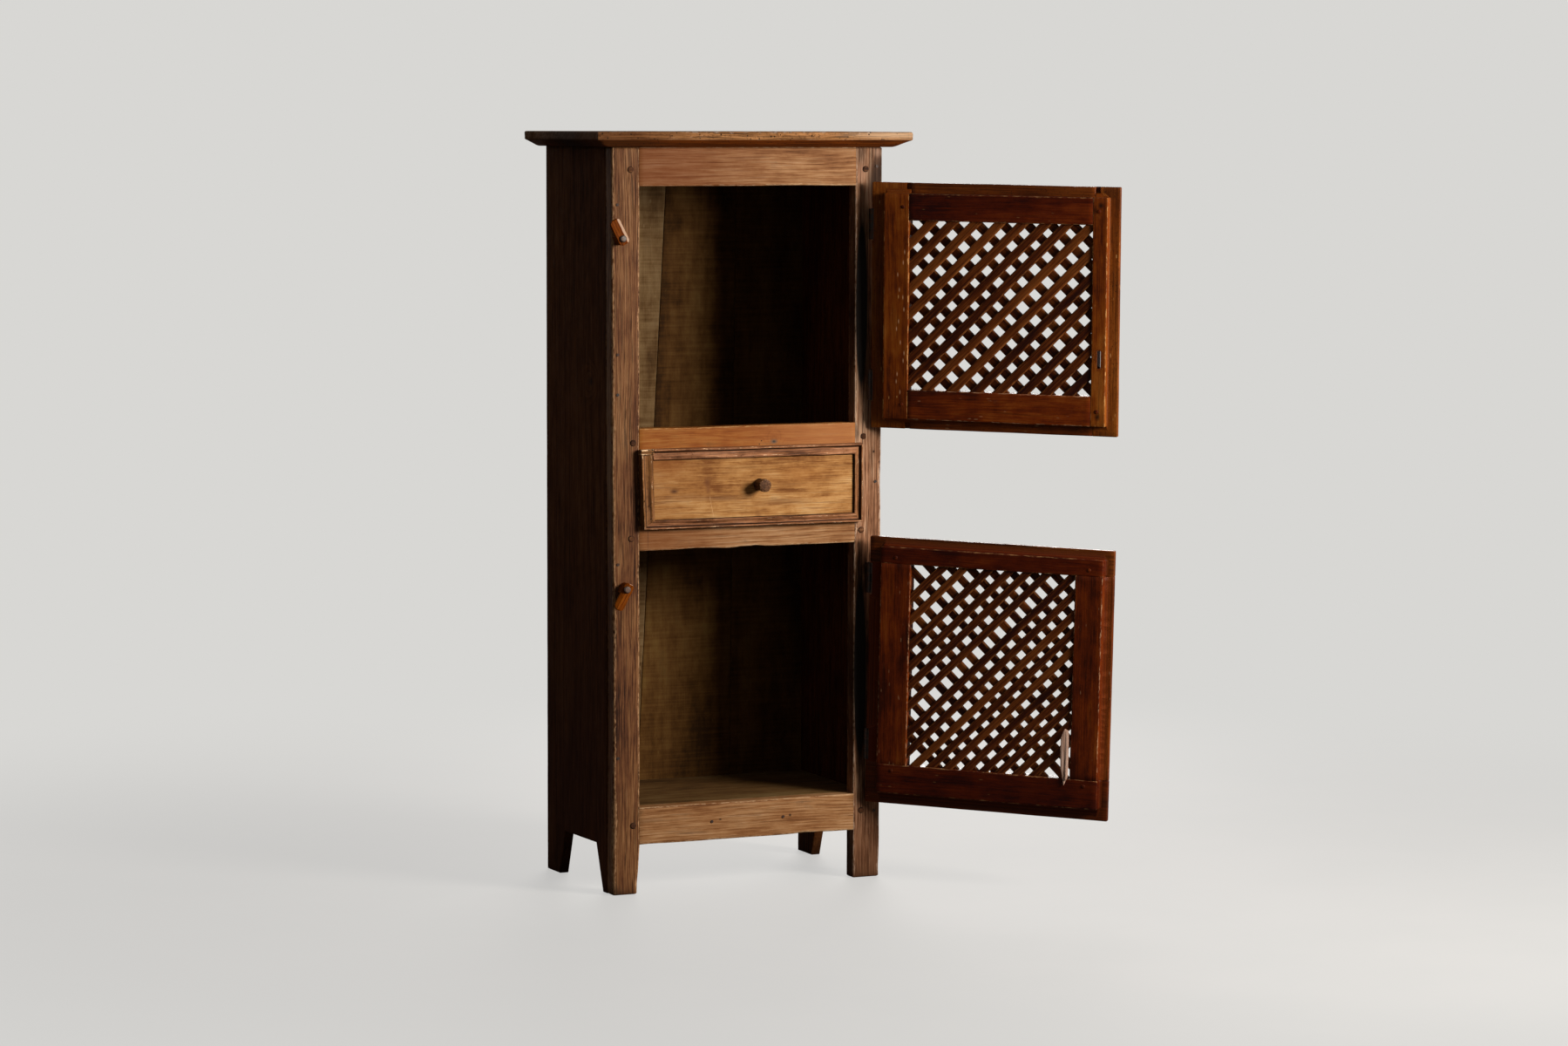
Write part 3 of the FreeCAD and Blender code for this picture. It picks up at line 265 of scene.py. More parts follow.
def plate(outline, axis, low, high, seed, bevel, jitter, step, tone=0, dirt=None):
    """An upright outline, as thick as low to high along the axis; its edges are eased and a little uneven."""
    shape = Shape()
    shift = plank_shift(seed)
    fine = []
    for a, b in zip(outline, outline[1:] + outline[:1]):
        a, b = Vector(a), Vector(b)
        pieces = max(1, int((b - a).length / step))
        fine += [a.lerp(b, k / pieces) for k in range(pieces)]
    if sum(a.x * b.y - b.x * a.y for a, b in zip(fine, fine[1:] + fine[:1])) < 0:
        fine.reverse()

    def inset(distance):
        result = []
        for i, p in enumerate(fine):
            before, after = fine[i - 1], fine[(i + 1) % len(fine)]
            d0, d1 = (p - before).normalized(), (after - p).normalized()
            n0, n1 = Vector((-d0.y, d0.x)), Vector((-d1.y, d1.x))
            n = (n0 + n1).normalized()
            wave = jitter * rough(seed, p.x / 40, p.y / 40, 0.3)
            result.append(p + n * (distance / max(0.4, n.dot(n0)) + wave))
        return result

    def put(p, t, wear):
        x, y, z = point = (t, p.x, p.y) if axis == "x" else (p.x, t, p.y)
        amount = dirt(Vector(point)) if dirt else 0
        return shape.add(point, Vector((z, x, y)) + shift, wear, amount, tone)

    # From one flat side over its eased edge to the side's middle; the other half is the same, turned round
    half = ((bevel + 5, 0, 0), (bevel, 0, 0.7), (bevel * 0.3, bevel * 0.3, 1), (0, bevel, 0.7),
            (0, bevel + 3, 0))
    levels = [(distance, low + rise, wear) for distance, rise, wear in half] + [
        (distance, high - rise, wear) for distance, rise, wear in reversed(half)]
    return shape.close([[put(p, t, wear) for p in inset(distance)] for distance, t, wear in levels])


def islands(node, matrix):
    """Points of each loose part of a CAD node, back in the builder's millimetres."""
    copy = bmesh.new()
    copy.from_mesh(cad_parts[node].data)
    bmesh.ops.remove_doubles(copy, verts=copy.verts, dist=1e-6)
    back = matrix.inverted()
    seen, groups = set(), []
    for start in copy.verts:
        if start in seen:
            continue
        stack, group = [start], []
        seen.add(start)
        while stack:
            vert = stack.pop()
            group.append(back @ vert.co)
            for edge in vert.link_edges:
                other = edge.other_vert(vert)
                if other not in seen:
                    seen.add(other)
                    stack.append(other)
        groups.append(group)
    copy.free()
    return groups


def extent(group):
    """The lowest and the highest corner of some points."""
    return (Vector([pick(p[k] for p in group) for k in range(3)]) for pick in (min, max))


# Materials

def linear(colour):
    def one(c):
        c = c / 255
        return c / 12.92 if c <= 0.04045 else ((c + 0.055) / 1.055) ** 2.4
    return tuple(one(c) for c in colour) + (1,)


def darker(colour, by):
    return tuple(c * by for c in colour[:3]) + (1,)


class Graph:
    """Nodes of a material or the world, in short calls."""

    def __init__(self, owner, out="OutputMaterial"):
        owner.use_nodes = True
        self.owner, self.tree = owner, owner.node_tree
        self.tree.nodes.clear()
        self.out = self.tree.nodes.new("ShaderNode" + out)

    def node(self, kind, inputs=(), output=0, **settings):
        made = self.tree.nodes.new("ShaderNode" + kind)
        for key, value in settings.items():
            setattr(made, key, value)
        for key, value in dict(inputs).items():
            if isinstance(value, bpy.types.NodeSocket):
                self.tree.links.new(value, made.inputs[key])
            else:
                made.inputs[key].default_value = value
        return made.outputs[output]

    def math(self, operation, a, b=0.5):
        return self.node("Math", {0: a, 1: b}, operation=operation)

    def plus(self, a, b):
        return self.math("ADD", a, b)

    def minus(self, a, b):
        return self.math("SUBTRACT", a, b)

    def times(self, a, b):
        return self.math("MULTIPLY", a, b)

    def swing(self, value, amount):
        """Noise from 0 to 1, turned into a push of up to half the amount either way."""
        return self.times(self.minus(value, 0.5), amount)

    def attribute(self, label):
        return self.node("Attribute", output="Vector" if label == "grain" else "Fac", attribute_name=label)

    def stretch(self, vector, by):
        return self.node("VectorMath", {0: vector, 1: by}, operation="MULTIPLY")

    def noise(self, vector, scale, detail=3, roughness=0.5):
        return self.node("TexNoise", {
            "Vector": vector, "Scale": scale, "Detail": detail, "Roughness": roughness})

    def streaks(self, vector, along, across, detail=3, roughness=0.5):
        """Noise with its own number of waves to the metre along the grain and across it."""
        return self.noise(self.stretch(vector, (along, across, across)), 1, detail, roughness)

    def ramp(self, factor, stops):
        made = self.tree.nodes.new("ShaderNodeValToRGB")
        band = made.color_ramp
        while len(band.elements) < len(stops):
            band.elements.new(0.5)
        for element, (place, colour) in zip(band.elements, stops):
            element.position = place
            element.color = colour
        self.tree.links.new(factor, made.inputs[0])
        return made.outputs[0]

    def window(self, value, low, high, to_low=0, to_high=1):
        """A smooth step from to_low at low to to_high at high."""
        return self.node("MapRange", {0: value, 1: low, 2: high, 3: to_low, 4: to_high},
                         interpolation_type="SMOOTHSTEP")

    def mix(self, factor, a, b):
        return self.node("Mix", {0: factor, 6: a, 7: b}, output=2, data_type="RGBA")

    def finish(self, shader):
        self.tree.links.new(shader, self.out.inputs["Surface"])
        return self.owner


def on_upper_door(x, z):
    """A place on the inside of the upper door, given on the shut door, where it stands open."""
    return tuple(CARCASS.inverted() @ (UPPER @ Vector((x, DOOR_BACK, z))))


def spot(graph, place, radius, squeeze=(1, 1, 1)):
    """1 at a place on the carcass, falling to 0 at the radius; all in millimetres."""
    where = graph.node("TexCoord", output="Object")
    centre = CARCASS @ Vector(place)
    gap = graph.node("VectorMath", {0: where, 1: tuple(centre)}, operation="SUBTRACT")
    length = graph.node("VectorMath", {0: graph.stretch(gap, squeeze)}, output="Value", operation="LENGTH")
    return graph.window(length, 0, radius * MM, 1, 0)


# One growth ring from its dark late wood on: (place, lightness)
RING_PROFILE = ((0, 0), (0.1, 0.12), (0.28, 0.72), (0.72, 0.6), (1, 0.3))
# Holes: radius in metres, cells to the metre, then the noise that thins them out: scale, detail, from, to
PIT = (0.0017, 24, 9, 1, 0.5, 0.54)
WORM = (0.0018, 105, 34, 2, 0.36, 0.5)
HOLE_COLOUR = linear((22, 13, 8))
RELIEF_DEPTH = 0.0014


def wood(name, dark, mid, light, pale, worn, dirt=(38, 26, 18), ochre=(150, 100, 48), rings=8, across=9,
         straight=150, ring=0.2, fibre=0.5, blotch=0.5, streak=0.35, mottle=0.35, saw=0, cracks=0.4,
         pits=0, worm=0, flecks=0, wear=0.8, dust=0.2, gloss=0.45, specular=0.1, bump=0.35, knots=(),
         spots=()):
    """Old waxed wood: growth rings, fibres, open pores, blotches, wear, dirt and wormholes.

    The colours run from the darkest wood to the palest, then worn, dirty and raw wood; on the buttons the
    worn colour also paints a highlight. rings, across and straight set the figure's scale, and the next numbers
    how strongly each mark shows. Knots are (place, radius, strength), spots (place, radius, squeeze, colour,
    strength); most are stain marks, but two on the right post are painted shadow.
    """
    g = Graph(bpy.data.materials.new(name))
    dark, mid, light, pale, worn, dirt, ochre = (
        linear(colour) for colour in (dark, mid, light, pale, worn, dirt, ochre))

    # Growth rings, bent by slow noise and by the knots
    place = g.attribute("grain")
    bend = g.streaks(place, 2.2, 5, 2)
    sway = g.stretch(g.node("CombineXYZ", {0: 0, 1: bend, 2: bend}), (0, 0.016, 0.016))
    grain = g.node("VectorMath", {0: place, 1: sway}, operation="ADD")
    figure = g.streaks(grain, 0.8, across, 1.5, 0.4)
    for knot, radius, strength in knots:
        figure = g.plus(figure, g.times(spot(g, knot, radius), strength))
    level = g.node("VectorMath", {0: grain, 1: (0, straight, straight)}, output="Value",
                   operation="DOT_PRODUCT")
    turns = g.math("FRACT", g.plus(g.times(figure, rings), level))
    lines = g.ramp(turns, [(where, (v, v, v, 1)) for where, v in RING_PROFILE])

    # Lightness, from hairs a millimetre wide to patches as wide as a hand
    fibres = g.streaks(grain, 9, 380, 4, 0.66)
    hairs = g.streaks(grain, 26, 800, 2)
    patches = g.streaks(place, 3, 10, 3, 0.6)
    bands = g.streaks(grain, 7, 150, 3, 0.6)
    grime = g.streaks(place, 14, 26, 5, 0.7)
    value = g.swing(lines, g.times(g.window(patches, 0.3, 0.6, 0.5, 1.1), ring))
    for part, amount in ((fibres, fibre * 1.6), (patches, blotch * 1.7), (hairs, min(0.45, fibre)),
                         (bands, streak * 1.8), (grime, mottle * 1.8)):
        value = g.plus(value, g.swing(part, amount))
    if saw:
        value = g.plus(value, g.swing(g.streaks(place, 210, 6, 3, 0.6), saw))
    value = g.plus(g.plus(value, 0.5), g.times(g.attribute("tone"), 0.25))
    colour = g.ramp(value, ((0.14, dark), (0.42, mid), (0.64, light), (0.92, pale)))
    colour = g.mix(g.times(g.window(bands, 0.56, 0.7), min(1, streak * 1.3)), colour, dark)

    # Raw wood, open pores and pocks
    raw = g.attribute("raw")
    raw_colour = g.mix(g.window(fibres, 0.35, 0.65), darker(ochre, 0.35), ochre)
    colour = g.mix(g.times(raw, g.window(patches, 0.3, 0.55, 0.4, 1)), colour, raw_colour)
    height = g.plus(g.plus(g.times(fibres, 0.7), g.times(lines, 0.3)), g.times(hairs, 0.3))
    splits = g.streaks(grain, 10, 470, 1.5, 0.45)
    pores = g.times(g.window(splits, 0.585, 0.655), g.window(patches, 0.32, 0.62, 0.35, 1))
    colour = g.mix(g.times(pores, cracks), colour, darker(dark, 0.5))
    height = g.minus(height, g.times(pores, 0.9 * cracks))
    pocks = g.window(g.noise(place, 170, 3, 0.8), 0.54, 0.64)
    colour = g.mix(g.times(pocks, g.times(raw, 0.75)), colour, darker(dark, 0.8))

    # Worn edges, with a painted highlight on one front arris of each button, scuffs and flecks
    edge_noise = g.streaks(place, 75, 240, 4, 0.7)
    wear_and_highlight = g.window(g.plus(g.attribute("wear"), g.swing(edge_noise, 2)), 0.8, 1.15)
    colour = g.mix(g.times(wear_and_highlight, wear), colour, worn)
    scuffs = g.streaks(place, 22, 30, 6, 0.75)
    colour = g.mix(g.times(g.window(scuffs, 0.62, 0.78), dust), colour, worn)
    if flecks:
        cells = g.node("TexVoronoi", {"Vector": g.stretch(place, (28, 110, 110)), "Scale": 1})
        few = g.window(g.noise(place, 23, 2), 0.52, 0.6)
        colour = g.mix(g.times(g.times(g.window(cells, 0.1, 0.17, 1, 0), few), flecks), colour, worn)

    # Dirt, spots and holes; most spots are stain marks, but on the right post two are painted shadow
    soiled = g.window(g.plus(g.attribute("dirt"), g.swing(grime, 1.3)), 0.3, 1.05)
    packed = g.mix(g.window(bands, 0.36, 0.62), darker(dirt, 1.4), darker(dirt, 0.55))
    colour = g.mix(soiled, colour, packed)
    colour = g.mix(g.times(g.window(grime, 0.58, 0.78), 0.45), colour, darker(dark, 0.6))
    for centre, radius, squeeze, tint, strength in spots:
        colour = g.mix(g.times(spot(g, centre, radius, squeeze), strength), colour, linear(tint))
    for kind, amount in ((PIT, pits), (WORM, worm)):
        if amount:
            size, spacing, scale, detail, low, high = kind
            cells = g.node("TexVoronoi", {"Vector": place, "Scale": spacing})
            here = g.window(cells, size * spacing * 0.7, size * spacing, 1, 0)
            here = g.times(here, g.window(g.noise(place, scale, detail), low, high))
            if kind is WORM:
                amount = g.plus(g.times(raw, worm), worm * 0.15)
            here = g.times(here, amount)
            colour = g.mix(here, colour, HOLE_COLOUR)
            height = g.minus(height, g.times(here, 2))
    height = g.minus(height, g.times(soiled, 0.2))

    shine = g.window(value, 0.1, 0.9, gloss + 0.1, gloss - 0.06)
    shine = g.plus(g.plus(shine, g.times(soiled, 0.2)), g.times(patches, 0.12))
    relief = g.node("Bump", {"Strength": bump, "Distance": RELIEF_DEPTH, "Height": height})
    return g.finish(g.node("BsdfPrincipled", {
        "Base Color": colour, "Roughness": shine, "Normal": relief, "IOR": 1.45,
        "Specular IOR Level": specular}))


def iron(name, colour, rust, gloss=0.5):
    g = Graph(bpy.data.materials.new(name))
    place = g.node("TexCoord", output="Object")
    coarse = g.noise(place, 90, 5, 0.65)
    fine = g.noise(place, 700, 4, 0.6)
    mixed = g.mix(g.window(coarse, 0.42, 0.62), linear(colour), linear(rust))
    mixed = g.mix(g.times(g.window(fine, 0.55, 0.7), 0.6), mixed, linear([c * 1.7 for c in colour]))
    shine = g.window(coarse, 0.35, 0.7, gloss, gloss + 0.25)
    relief = g.node("Bump", {"Strength": 0.5, "Distance": 0.0008, "Height": g.plus(coarse, fine)})
    return g.finish(g.node("BsdfPrincipled", {
        "Base Color": mixed, "Metallic": 0.6, "Roughness": shine, "Normal": relief}))


def spots_at(y, *rows):
    """Spots of colour on a face at Y, from rows of x, z, radius, squeeze in X and in Z, colour and strength."""
    return tuple(((x, y, z), radius, (wide, 1, tall), tint, strength)
                 for x, z, radius, wide, tall, tint, strength in rows)


EVEN = (1, 1, 1)
POST_LEFT = wood(
    "post_left", (39, 21, 12), (93, 55, 32), (118, 78, 46), (142, 101, 66), (188, 145, 105), rings=3,
    straight=170, fibre=0.95, blotch=0.6, cracks=0.7, pits=0.9, wear=0.6, dust=0.12, gloss=0.5, bump=0.6)
POST_RIGHT = wood(
    "post_right", (52, 31, 20), (114, 75, 51), (150, 106, 77), (182, 144, 114), (212, 180, 153), rings=4,
    straight=130, ring=0.3, fibre=0.95, blotch=0.95, cracks=0.8, pits=1, wear=0.6, dust=0.4, gloss=0.55,
    specular=0.06, bump=0.55, spots=spots_at(
        0, (634, 1568, 46, 1, 0.45, (40, 28, 22), 0.9), (588, 1602, 26, 1, 0.5, (54, 38, 30), 0.7),
        (620, 1540, 34, 1, 0.6, (44, 31, 24), 0.85), (622.1, 948, 5, 1, 1, (8, 5, 4), 1),
        (590, 1562, 16, 1, 0.5, (150, 112, 90), 0.5), (628, 1606, 12, 1, 0.7, (170, 134, 112), 0.5),
        # The next two, long dark strips at x 591 beside the open doors, are painted shadow: the doors' shade on
        # the post's face
        (591, 1272, 285, 14, 1.04, (14, 8, 5), 3), (591, 466, 312, 14, 1.04, (14, 8, 5), 3),
        (581, 990, 14, 1.6, 0.4, (40, 28, 20), 0.7), (606, 10, 150, 1, 0.7, (86, 54, 34), 0.6)))
RAIL = wood(
    "rail", (84, 47, 21), (129, 84, 48), (153, 110, 71), (174, 134, 97), (194, 161, 125), rings=9,
    straight=110, ring=0.25, fibre=0.7, cracks=0.35, pits=0.7, wear=0.5, dust=0.1, gloss=0.5, spots=spots_at(
        0, (100, 1575, 300, 0.8, 1.4, (106, 54, 22), 0.7), (110, 780, 200, 0.8, 1.4, (114, 63, 27), 0.55),
        (254.7, 151.7, 5, 1, 1.6, (20, 12, 8), 1), (422, 150.7, 5, 1, 1, (20, 12, 8), 1),
        (83.6, 780, 3, 1.6, 0.06, (70, 40, 24), 0.7)))
RAIL_ORANGE = wood(
    "rail_orange", (97, 46, 11), (133, 72, 24), (149, 92, 38), (166, 114, 62), (183, 141, 89), rings=5,
    straight=50, ring=0.16, fibre=0.45, cracks=0.2, pits=1, wear=0.5, dust=0.1, gloss=0.48, bump=0.25,
    knots=(((381, 0, 977), 30, 0.5),), spots=spots_at(
        0, (520, 987, 200, 0.8, 1.4, (162, 106, 64), 0.5), (381, 977, 13, 1, 1.7, (88, 74, 62), 1),
        (381, 977, 5, 1, 1.2, (44, 36, 30), 0.8)))
SIDE = wood(
    "side", (35, 16, 6), (73, 39, 17), (95, 54, 26), (117, 73, 38), (128, 86, 49), rings=6, straight=25,
    ring=0.22, fibre=0.6, pits=0.6, dust=0.08, gloss=0.6, specular=0.02, knots=(((0, 120, 1110), 60, 0.5),),
    # The second, large spot darkens the sides towards their foot, the left one most
    spots=(((0, 120, 1110), 16, EVEN, (34, 18, 12), 0.9), ((0, 220, 180), 800, EVEN, (44, 20, 10), 0.6)))
SAWN = dict(rings=5, straight=20, wear=0.3)
DARK_CORNER = dict(SAWN, ring=0.1, blotch=0.9, streak=0.05, mottle=0.6, cracks=0.1, gloss=0.66)
INNER = wood(
    "inner", (47, 27, 6), (73, 45, 13), (88, 58, 22), (102, 74, 33), (117, 90, 48), fibre=0.12, saw=0.6,
    dust=0.12, flecks=0.2, **DARK_CORNER)
INNER_FLOOR = wood(
    "inner_floor", (53, 35, 16), (86, 59, 30), (100, 75, 43), (118, 94, 60), (136, 116, 83), ring=0.15,
    blotch=0.8, cracks=0.3, dust=0.12, gloss=0.6, **SAWN)
INNER_GREEN = wood(
    "inner_green", (56, 36, 15), (88, 63, 35), (106, 81, 50), (122, 97, 65), (143, 119, 86), fibre=0.14,
    saw=0.7, dust=0.3, flecks=0.5, **DARK_CORNER)
DRAWER = wood(
    "drawer", (111, 64, 24), (157, 107, 55), (179, 131, 77), (195, 154, 103), (213, 179, 135), rings=9,
    across=7, straight=35, ring=0.13, fibre=0.55, blotch=0.8, streak=0.4, mottle=0.7, cracks=0.5, wear=0.5,
    dust=0.12, gloss=0.42, spots=spots_at(
        DRAWER_FACE, (141.4, 875.5, 15, 1, 2.1, (40, 24, 18), 1), (126, 863, 16, 0.8, 2, (104, 62, 32), 0.5),
        (256, 857, 42, 0.5, 4, (96, 58, 34), 0.6), (400, 846, 50, 0.5, 4, (104, 64, 36), 0.5),
        (180, 862, 46, 0.5, 5, (104, 62, 34), 0.4), (219, 893, 11, 1, 0.7, (96, 54, 28), 0.7),
        (222, 878, 9, 1.2, 0.6, (110, 66, 36), 0.6), (226, 858, 4, 2.6, 0.5, (206, 160, 110), 0.45),
        (228, 849, 4, 2.6, 0.5, (206, 160, 110), 0.45), (229.6, 840, 4, 2.6, 0.5, (210, 166, 116), 0.5),
        (231.5, 831, 4, 2.6, 0.5, (210, 166, 116), 0.5), (233.4, 822, 4, 2.6, 0.5, (206, 160, 110), 0.4),
        (341, 815, 12, 1, 1, (110, 64, 30), 0.6), (110, 930, 60, 0.6, 1.6, (138, 80, 34), 0.45),
        (84, 880, 170, 0.9, 1, (122, 66, 22), 0.4), (440, 905, 60, 0.5, 2, (150, 94, 40), 0.4)))
MOULDING = wood(
    "moulding", (63, 34, 21), (120, 75, 47), (157, 104, 70), (194, 137, 98), (255, 216, 171), dirt=(34, 18, 10),
    rings=4, straight=60, ring=0.25, fibre=0.9, streak=0.5, mottle=0.7, cracks=0.8, worm=1.2, wear=0.95,
    dust=0.4, gloss=0.38, bump=0.7)
TOP = wood(
    "top", (77, 42, 16), (115, 74, 39), (142, 97, 63), (164, 127, 95), (196, 172, 153), dirt=(105, 49, 7),
    ochre=(172, 118, 70), rings=6, straight=50, fibre=0.9, streak=0.6, mottle=0.6, cracks=0.8,
    pits=1, worm=2.2, wear=0.75, dust=0.6, gloss=0.6, specular=0.08, bump=0.7, spots=(
        ((-50, 120, 1640), 330, EVEN, (30, 16, 8), 0.9), ((-20, -49, 1640), 260, EVEN, (92, 50, 20), 0.55),
        ((650, -49, 1643), 180, (1, 1, 15), (206, 172, 138), 0.6)))
DOOR_WOOD = dict(straight=35, ring=0.16, blotch=1, streak=0.4, mottle=0.7, cracks=0.3, bump=0.28)
DOOR = wood(
    "door", (46, 12, 1), (82, 28, 5), (103, 41, 7), (125, 62, 19), (166, 126, 93), dirt=(30, 14, 7),
    ochre=(134, 74, 26), rings=6, worm=0.8, flecks=0.4, wear=0.75, dust=0.07, gloss=0.34, **DOOR_WOOD)
# Paint specks down the hinge stile of the upper door, and the dark heads of three old nails
PAINT_DASHES = tuple(
    (on_upper_door(532 + 9 * sin(share * 19), 1085 + 330 * share), 3.2, (1.6, 1.6, 0.45), (196, 150, 112),
     0.85)
    for share in (0, 0.07, 0.12, 0.21, 0.26, 0.33, 0.42, 0.47, 0.55, 0.63, 0.68, 0.78, 0.86, 0.93))
NAIL_MARKS = tuple(
    (on_upper_door(x, z), radius, (1, 1, squeeze), (24, 9, 4), strength)
    for x, z, radius, squeeze, strength in (
        (84, 1503, 10, 1, 0.95), (86, 1047, 10, 0.8, 0.9), (97, 1492, 7, 0.6, 0.7)))
DOOR_ORANGE = wood(
    "door_orange", (60, 20, 4), (99, 42, 6), (119, 58, 12), (139, 80, 28), (182, 134, 80), dirt=(34, 17, 8),
    ochre=(140, 80, 28), rings=5, fibre=0.55, worm=0.8, flecks=0.9, wear=0.75, dust=0.12, gloss=0.34,
    spots=PAINT_DASHES + NAIL_MARKS, **DOOR_WOOD)
DOOR_DARK = wood(
    "door_dark", (34, 5, 2), (62, 16, 2), (77, 24, 4), (99, 39, 9), (154, 112, 72), dirt=(26, 11, 5),
    ochre=(140, 80, 28), rings=6, worm=0.9, flecks=0.3, wear=0.65, dust=0.07, gloss=0.32, **DOOR_WOOD)
SLAT = wood(
    "slat", (33, 7, 2), (65, 25, 4), (87, 40, 11), (110, 58, 21), (128, 78, 38), dirt=(30, 15, 7), rings=3,
    straight=110, fibre=0.9, blotch=0.8, cracks=0.5, flecks=0.2, wear=0.6, dust=0.15, gloss=0.42,
    bump=0.4)
KNOB = wood(
    "knob_wood", (44, 26, 15), (86, 55, 34), (120, 82, 54), (152, 112, 78), (180, 138, 98), straight=120,
    fibre=0.9, cracks=0.8, pits=0.5, wear=0.35, gloss=0.4, bump=0.6)
# The palest of its colours, for worn wood, also paints a highlight on one front arris (see carve_button)
BUTTON = wood(
    "button_wood", (62, 24, 1), (96, 42, 2), (114, 54, 4), (132, 71, 13), (176, 144, 120), straight=160,
    ring=0.3, fibre=0.9, cracks=0.5, wear=1, dust=0.15, gloss=0.5, specular=0.04, bump=0.6)
SPLINT = wood(
    "splint_wood", (168, 126, 104), (212, 172, 150), (230, 196, 176), (242, 214, 198), (246, 222, 206),
    straight=200, ring=0.25, fibre=0.8, gloss=0.6, bump=0.4)
IRON = iron("old_iron", (38, 30, 26), (66, 40, 26))
PIN_IRON = iron("pin_iron", (70, 64, 60), (84, 62, 50), gloss=0.4)


# Carcass

FOOT_HEIGHT = 107.5
SIDES = (("left", 0), ("right", WIDTH - SIDE_BOARD))
post = dict(wobble=0.55, margin=6, dirt_low=0.7, ends=3)
left_post = bar(
    "z", 0, SIDE_TOP, (uneven(0.4, (3.2, 430, 420)), lambda t: POST_WIDTH - 6 * max(0, 1 - t / FOOT_HEIGHT)),
    (POST_FACE, POST_BACK), 3, (2.4, 1.5, 1.5, 4.2), chips=(
        (0, 24, 3, 18), (0, 402, 2, 30), (0, 700, 3, 16), (0, 1245, 2.5, 20), (3, 150, 4, 60), (3, 620, 2, 40),
        (3, 1010, 3, 25), (3, 60, 4, 20)), **post)
finish_piece("left_post_worn", [left_post], POST_LEFT, "left_post")
right_post = bar(
    "z", 0, SIDE_TOP, (RIGHT_POST, WIDTH), (POST_FACE, POST_BACK), 8, (2.2, 1.5, 1.5, 2.2), chips=(
        (3, 30, 3, 15), (0, 20, 4, 24), (3, 780, 3, 14), (3, 1000, 2.5, 24), (0, 880, 3, 40), (3, 1560, 3, 20)),
    dirt_high=0.4, **post)
finish_piece("right_post_worn", [right_post], POST_RIGHT, "right_post")

RAILS = (
    ("bottom_rail", uneven(FOOT_HEIGHT, (1.5, 470, 40), (1, 90, 30)), uneven(189, (-0.8, 330, 80)),
     RAIL, 21, 0.2),
    ("lower_drawer_rail", uneven(748.5, (2.8, 338, 16), (1.8, 308, 12), (1.2, 200, 40), (-0.8, 260, 30)), 803,
     RAIL, 27, 0),
    ("upper_drawer_rail", 961, uneven(1013, (-0.8, 180, 60)), RAIL_ORANGE, 31, 0),
    ("top_rail", uneven(1533, (1, 420, 80)), SIDE_TOP, RAIL, 36, 0))
for name, under, over, material, seed, tone in RAILS:
    rail = bar("x", 62.5, 577, (0.3, POST_BACK), (under, over), seed, (2.2, 1.4, 1.4, 2.2), wobble=0.45,
               dirt_low=0.35, dirt_high=0.35, tone=tone,
               chips=((0, 120, 2, 14), (0, 343, 3.5, 12), (3, 240, 2, 20), (3, 452, 2.5, 9)))
    finish_piece(name + "_worn", [rail], material, name)

SIDE_OUTLINE = (
    (POST_BACK, 0), (55, 0), (95, 103), (280, 100), (315, 0), (DEPTH, 0), (DEPTH, SIDE_TOP),
    (POST_BACK, SIDE_TOP))


def side_dirt(p):
    return 0.75 * max(0, 1 - p.z / 90) + 0.3 * max(0, 1 - (SIDE_TOP - p.z) / 60)


for (side, x0), seed in zip(SIDES, (51, 57)):
    shape = plate(SIDE_OUTLINE, "x", x0, x0 + SIDE_BOARD, seed, bevel=1.8, jitter=0.7, step=16, dirt=side_dirt)
    finish_piece(side + "_side_planed", [shape], SIDE, side + "_side_board")

# Back boards: left edge at the foot and at the top, then the right edge; the first seam is slanted
BACK_FOOT = 150
BACKS = (
    ("left", 12, 12, 208.4, 285.4, INNER_GREEN, 0.2, 61),
    ("middle", 209.6, 286.6, 438.1, 453.1, INNER, -0.1, 66),
    ("right", 438.9, 453.9, 627.5, 627.5, INNER, 0, 71))
for name, foot_left, top_left, foot_right, top_right, material, tone, seed in BACKS:
    outline = ((foot_left, BACK_FOOT), (foot_right, BACK_FOOT), (top_right, SIDE_TOP), (top_left, SIDE_TOP))
    shape = plate(outline, "y", BACK_FACE, DEPTH, seed, bevel=1.2, jitter=0.35, step=16, tone=tone)
    finish_piece("back_{}_sawn".format(name), [shape], material, "back_board_" + name)

SHELF = dict(wobble=0.3, inner=6, margin=12, tone=-0.15, dirt_low=0.4, dirt_high=0.4)
DRAWER_SIDE = dict(wobble=0.15, step=20)

# Top board, a rectangle of edge profiles: inset, height, wear and dirt; the back edge is straight
TOP_PROFILE = (
    (12, 1650, 0, 0), (3.5, 1650, 0.2, 0), (1.4, 1649.4, 0.8, 0), (0.3, 1648, 0.8, 0),
    (0, 1644.5, 0.3, 0), (0.2, 1638.5, 0.1, 0), (0, 1634.5, 0.3, 0), (0.5, 1632.8, 0.7, 0.3),
    (2.2, 1631.4, 0.5, 1), (7, 1629.4, 0, 1.3), (17, 1624.5, 0, 1.3), (27, 1619.3, 0, 1.3),
    (33, 1617.2, 0.1, 1.3), (36, 1617, 0.2, 1.3), (52, 1617, 0, 1.3))
TOP_BOX = (-50.5, 690, -49, DEPTH)
TOP_STEP = 9
FRONT_SIDE, BACK_SIDE = 0, 2


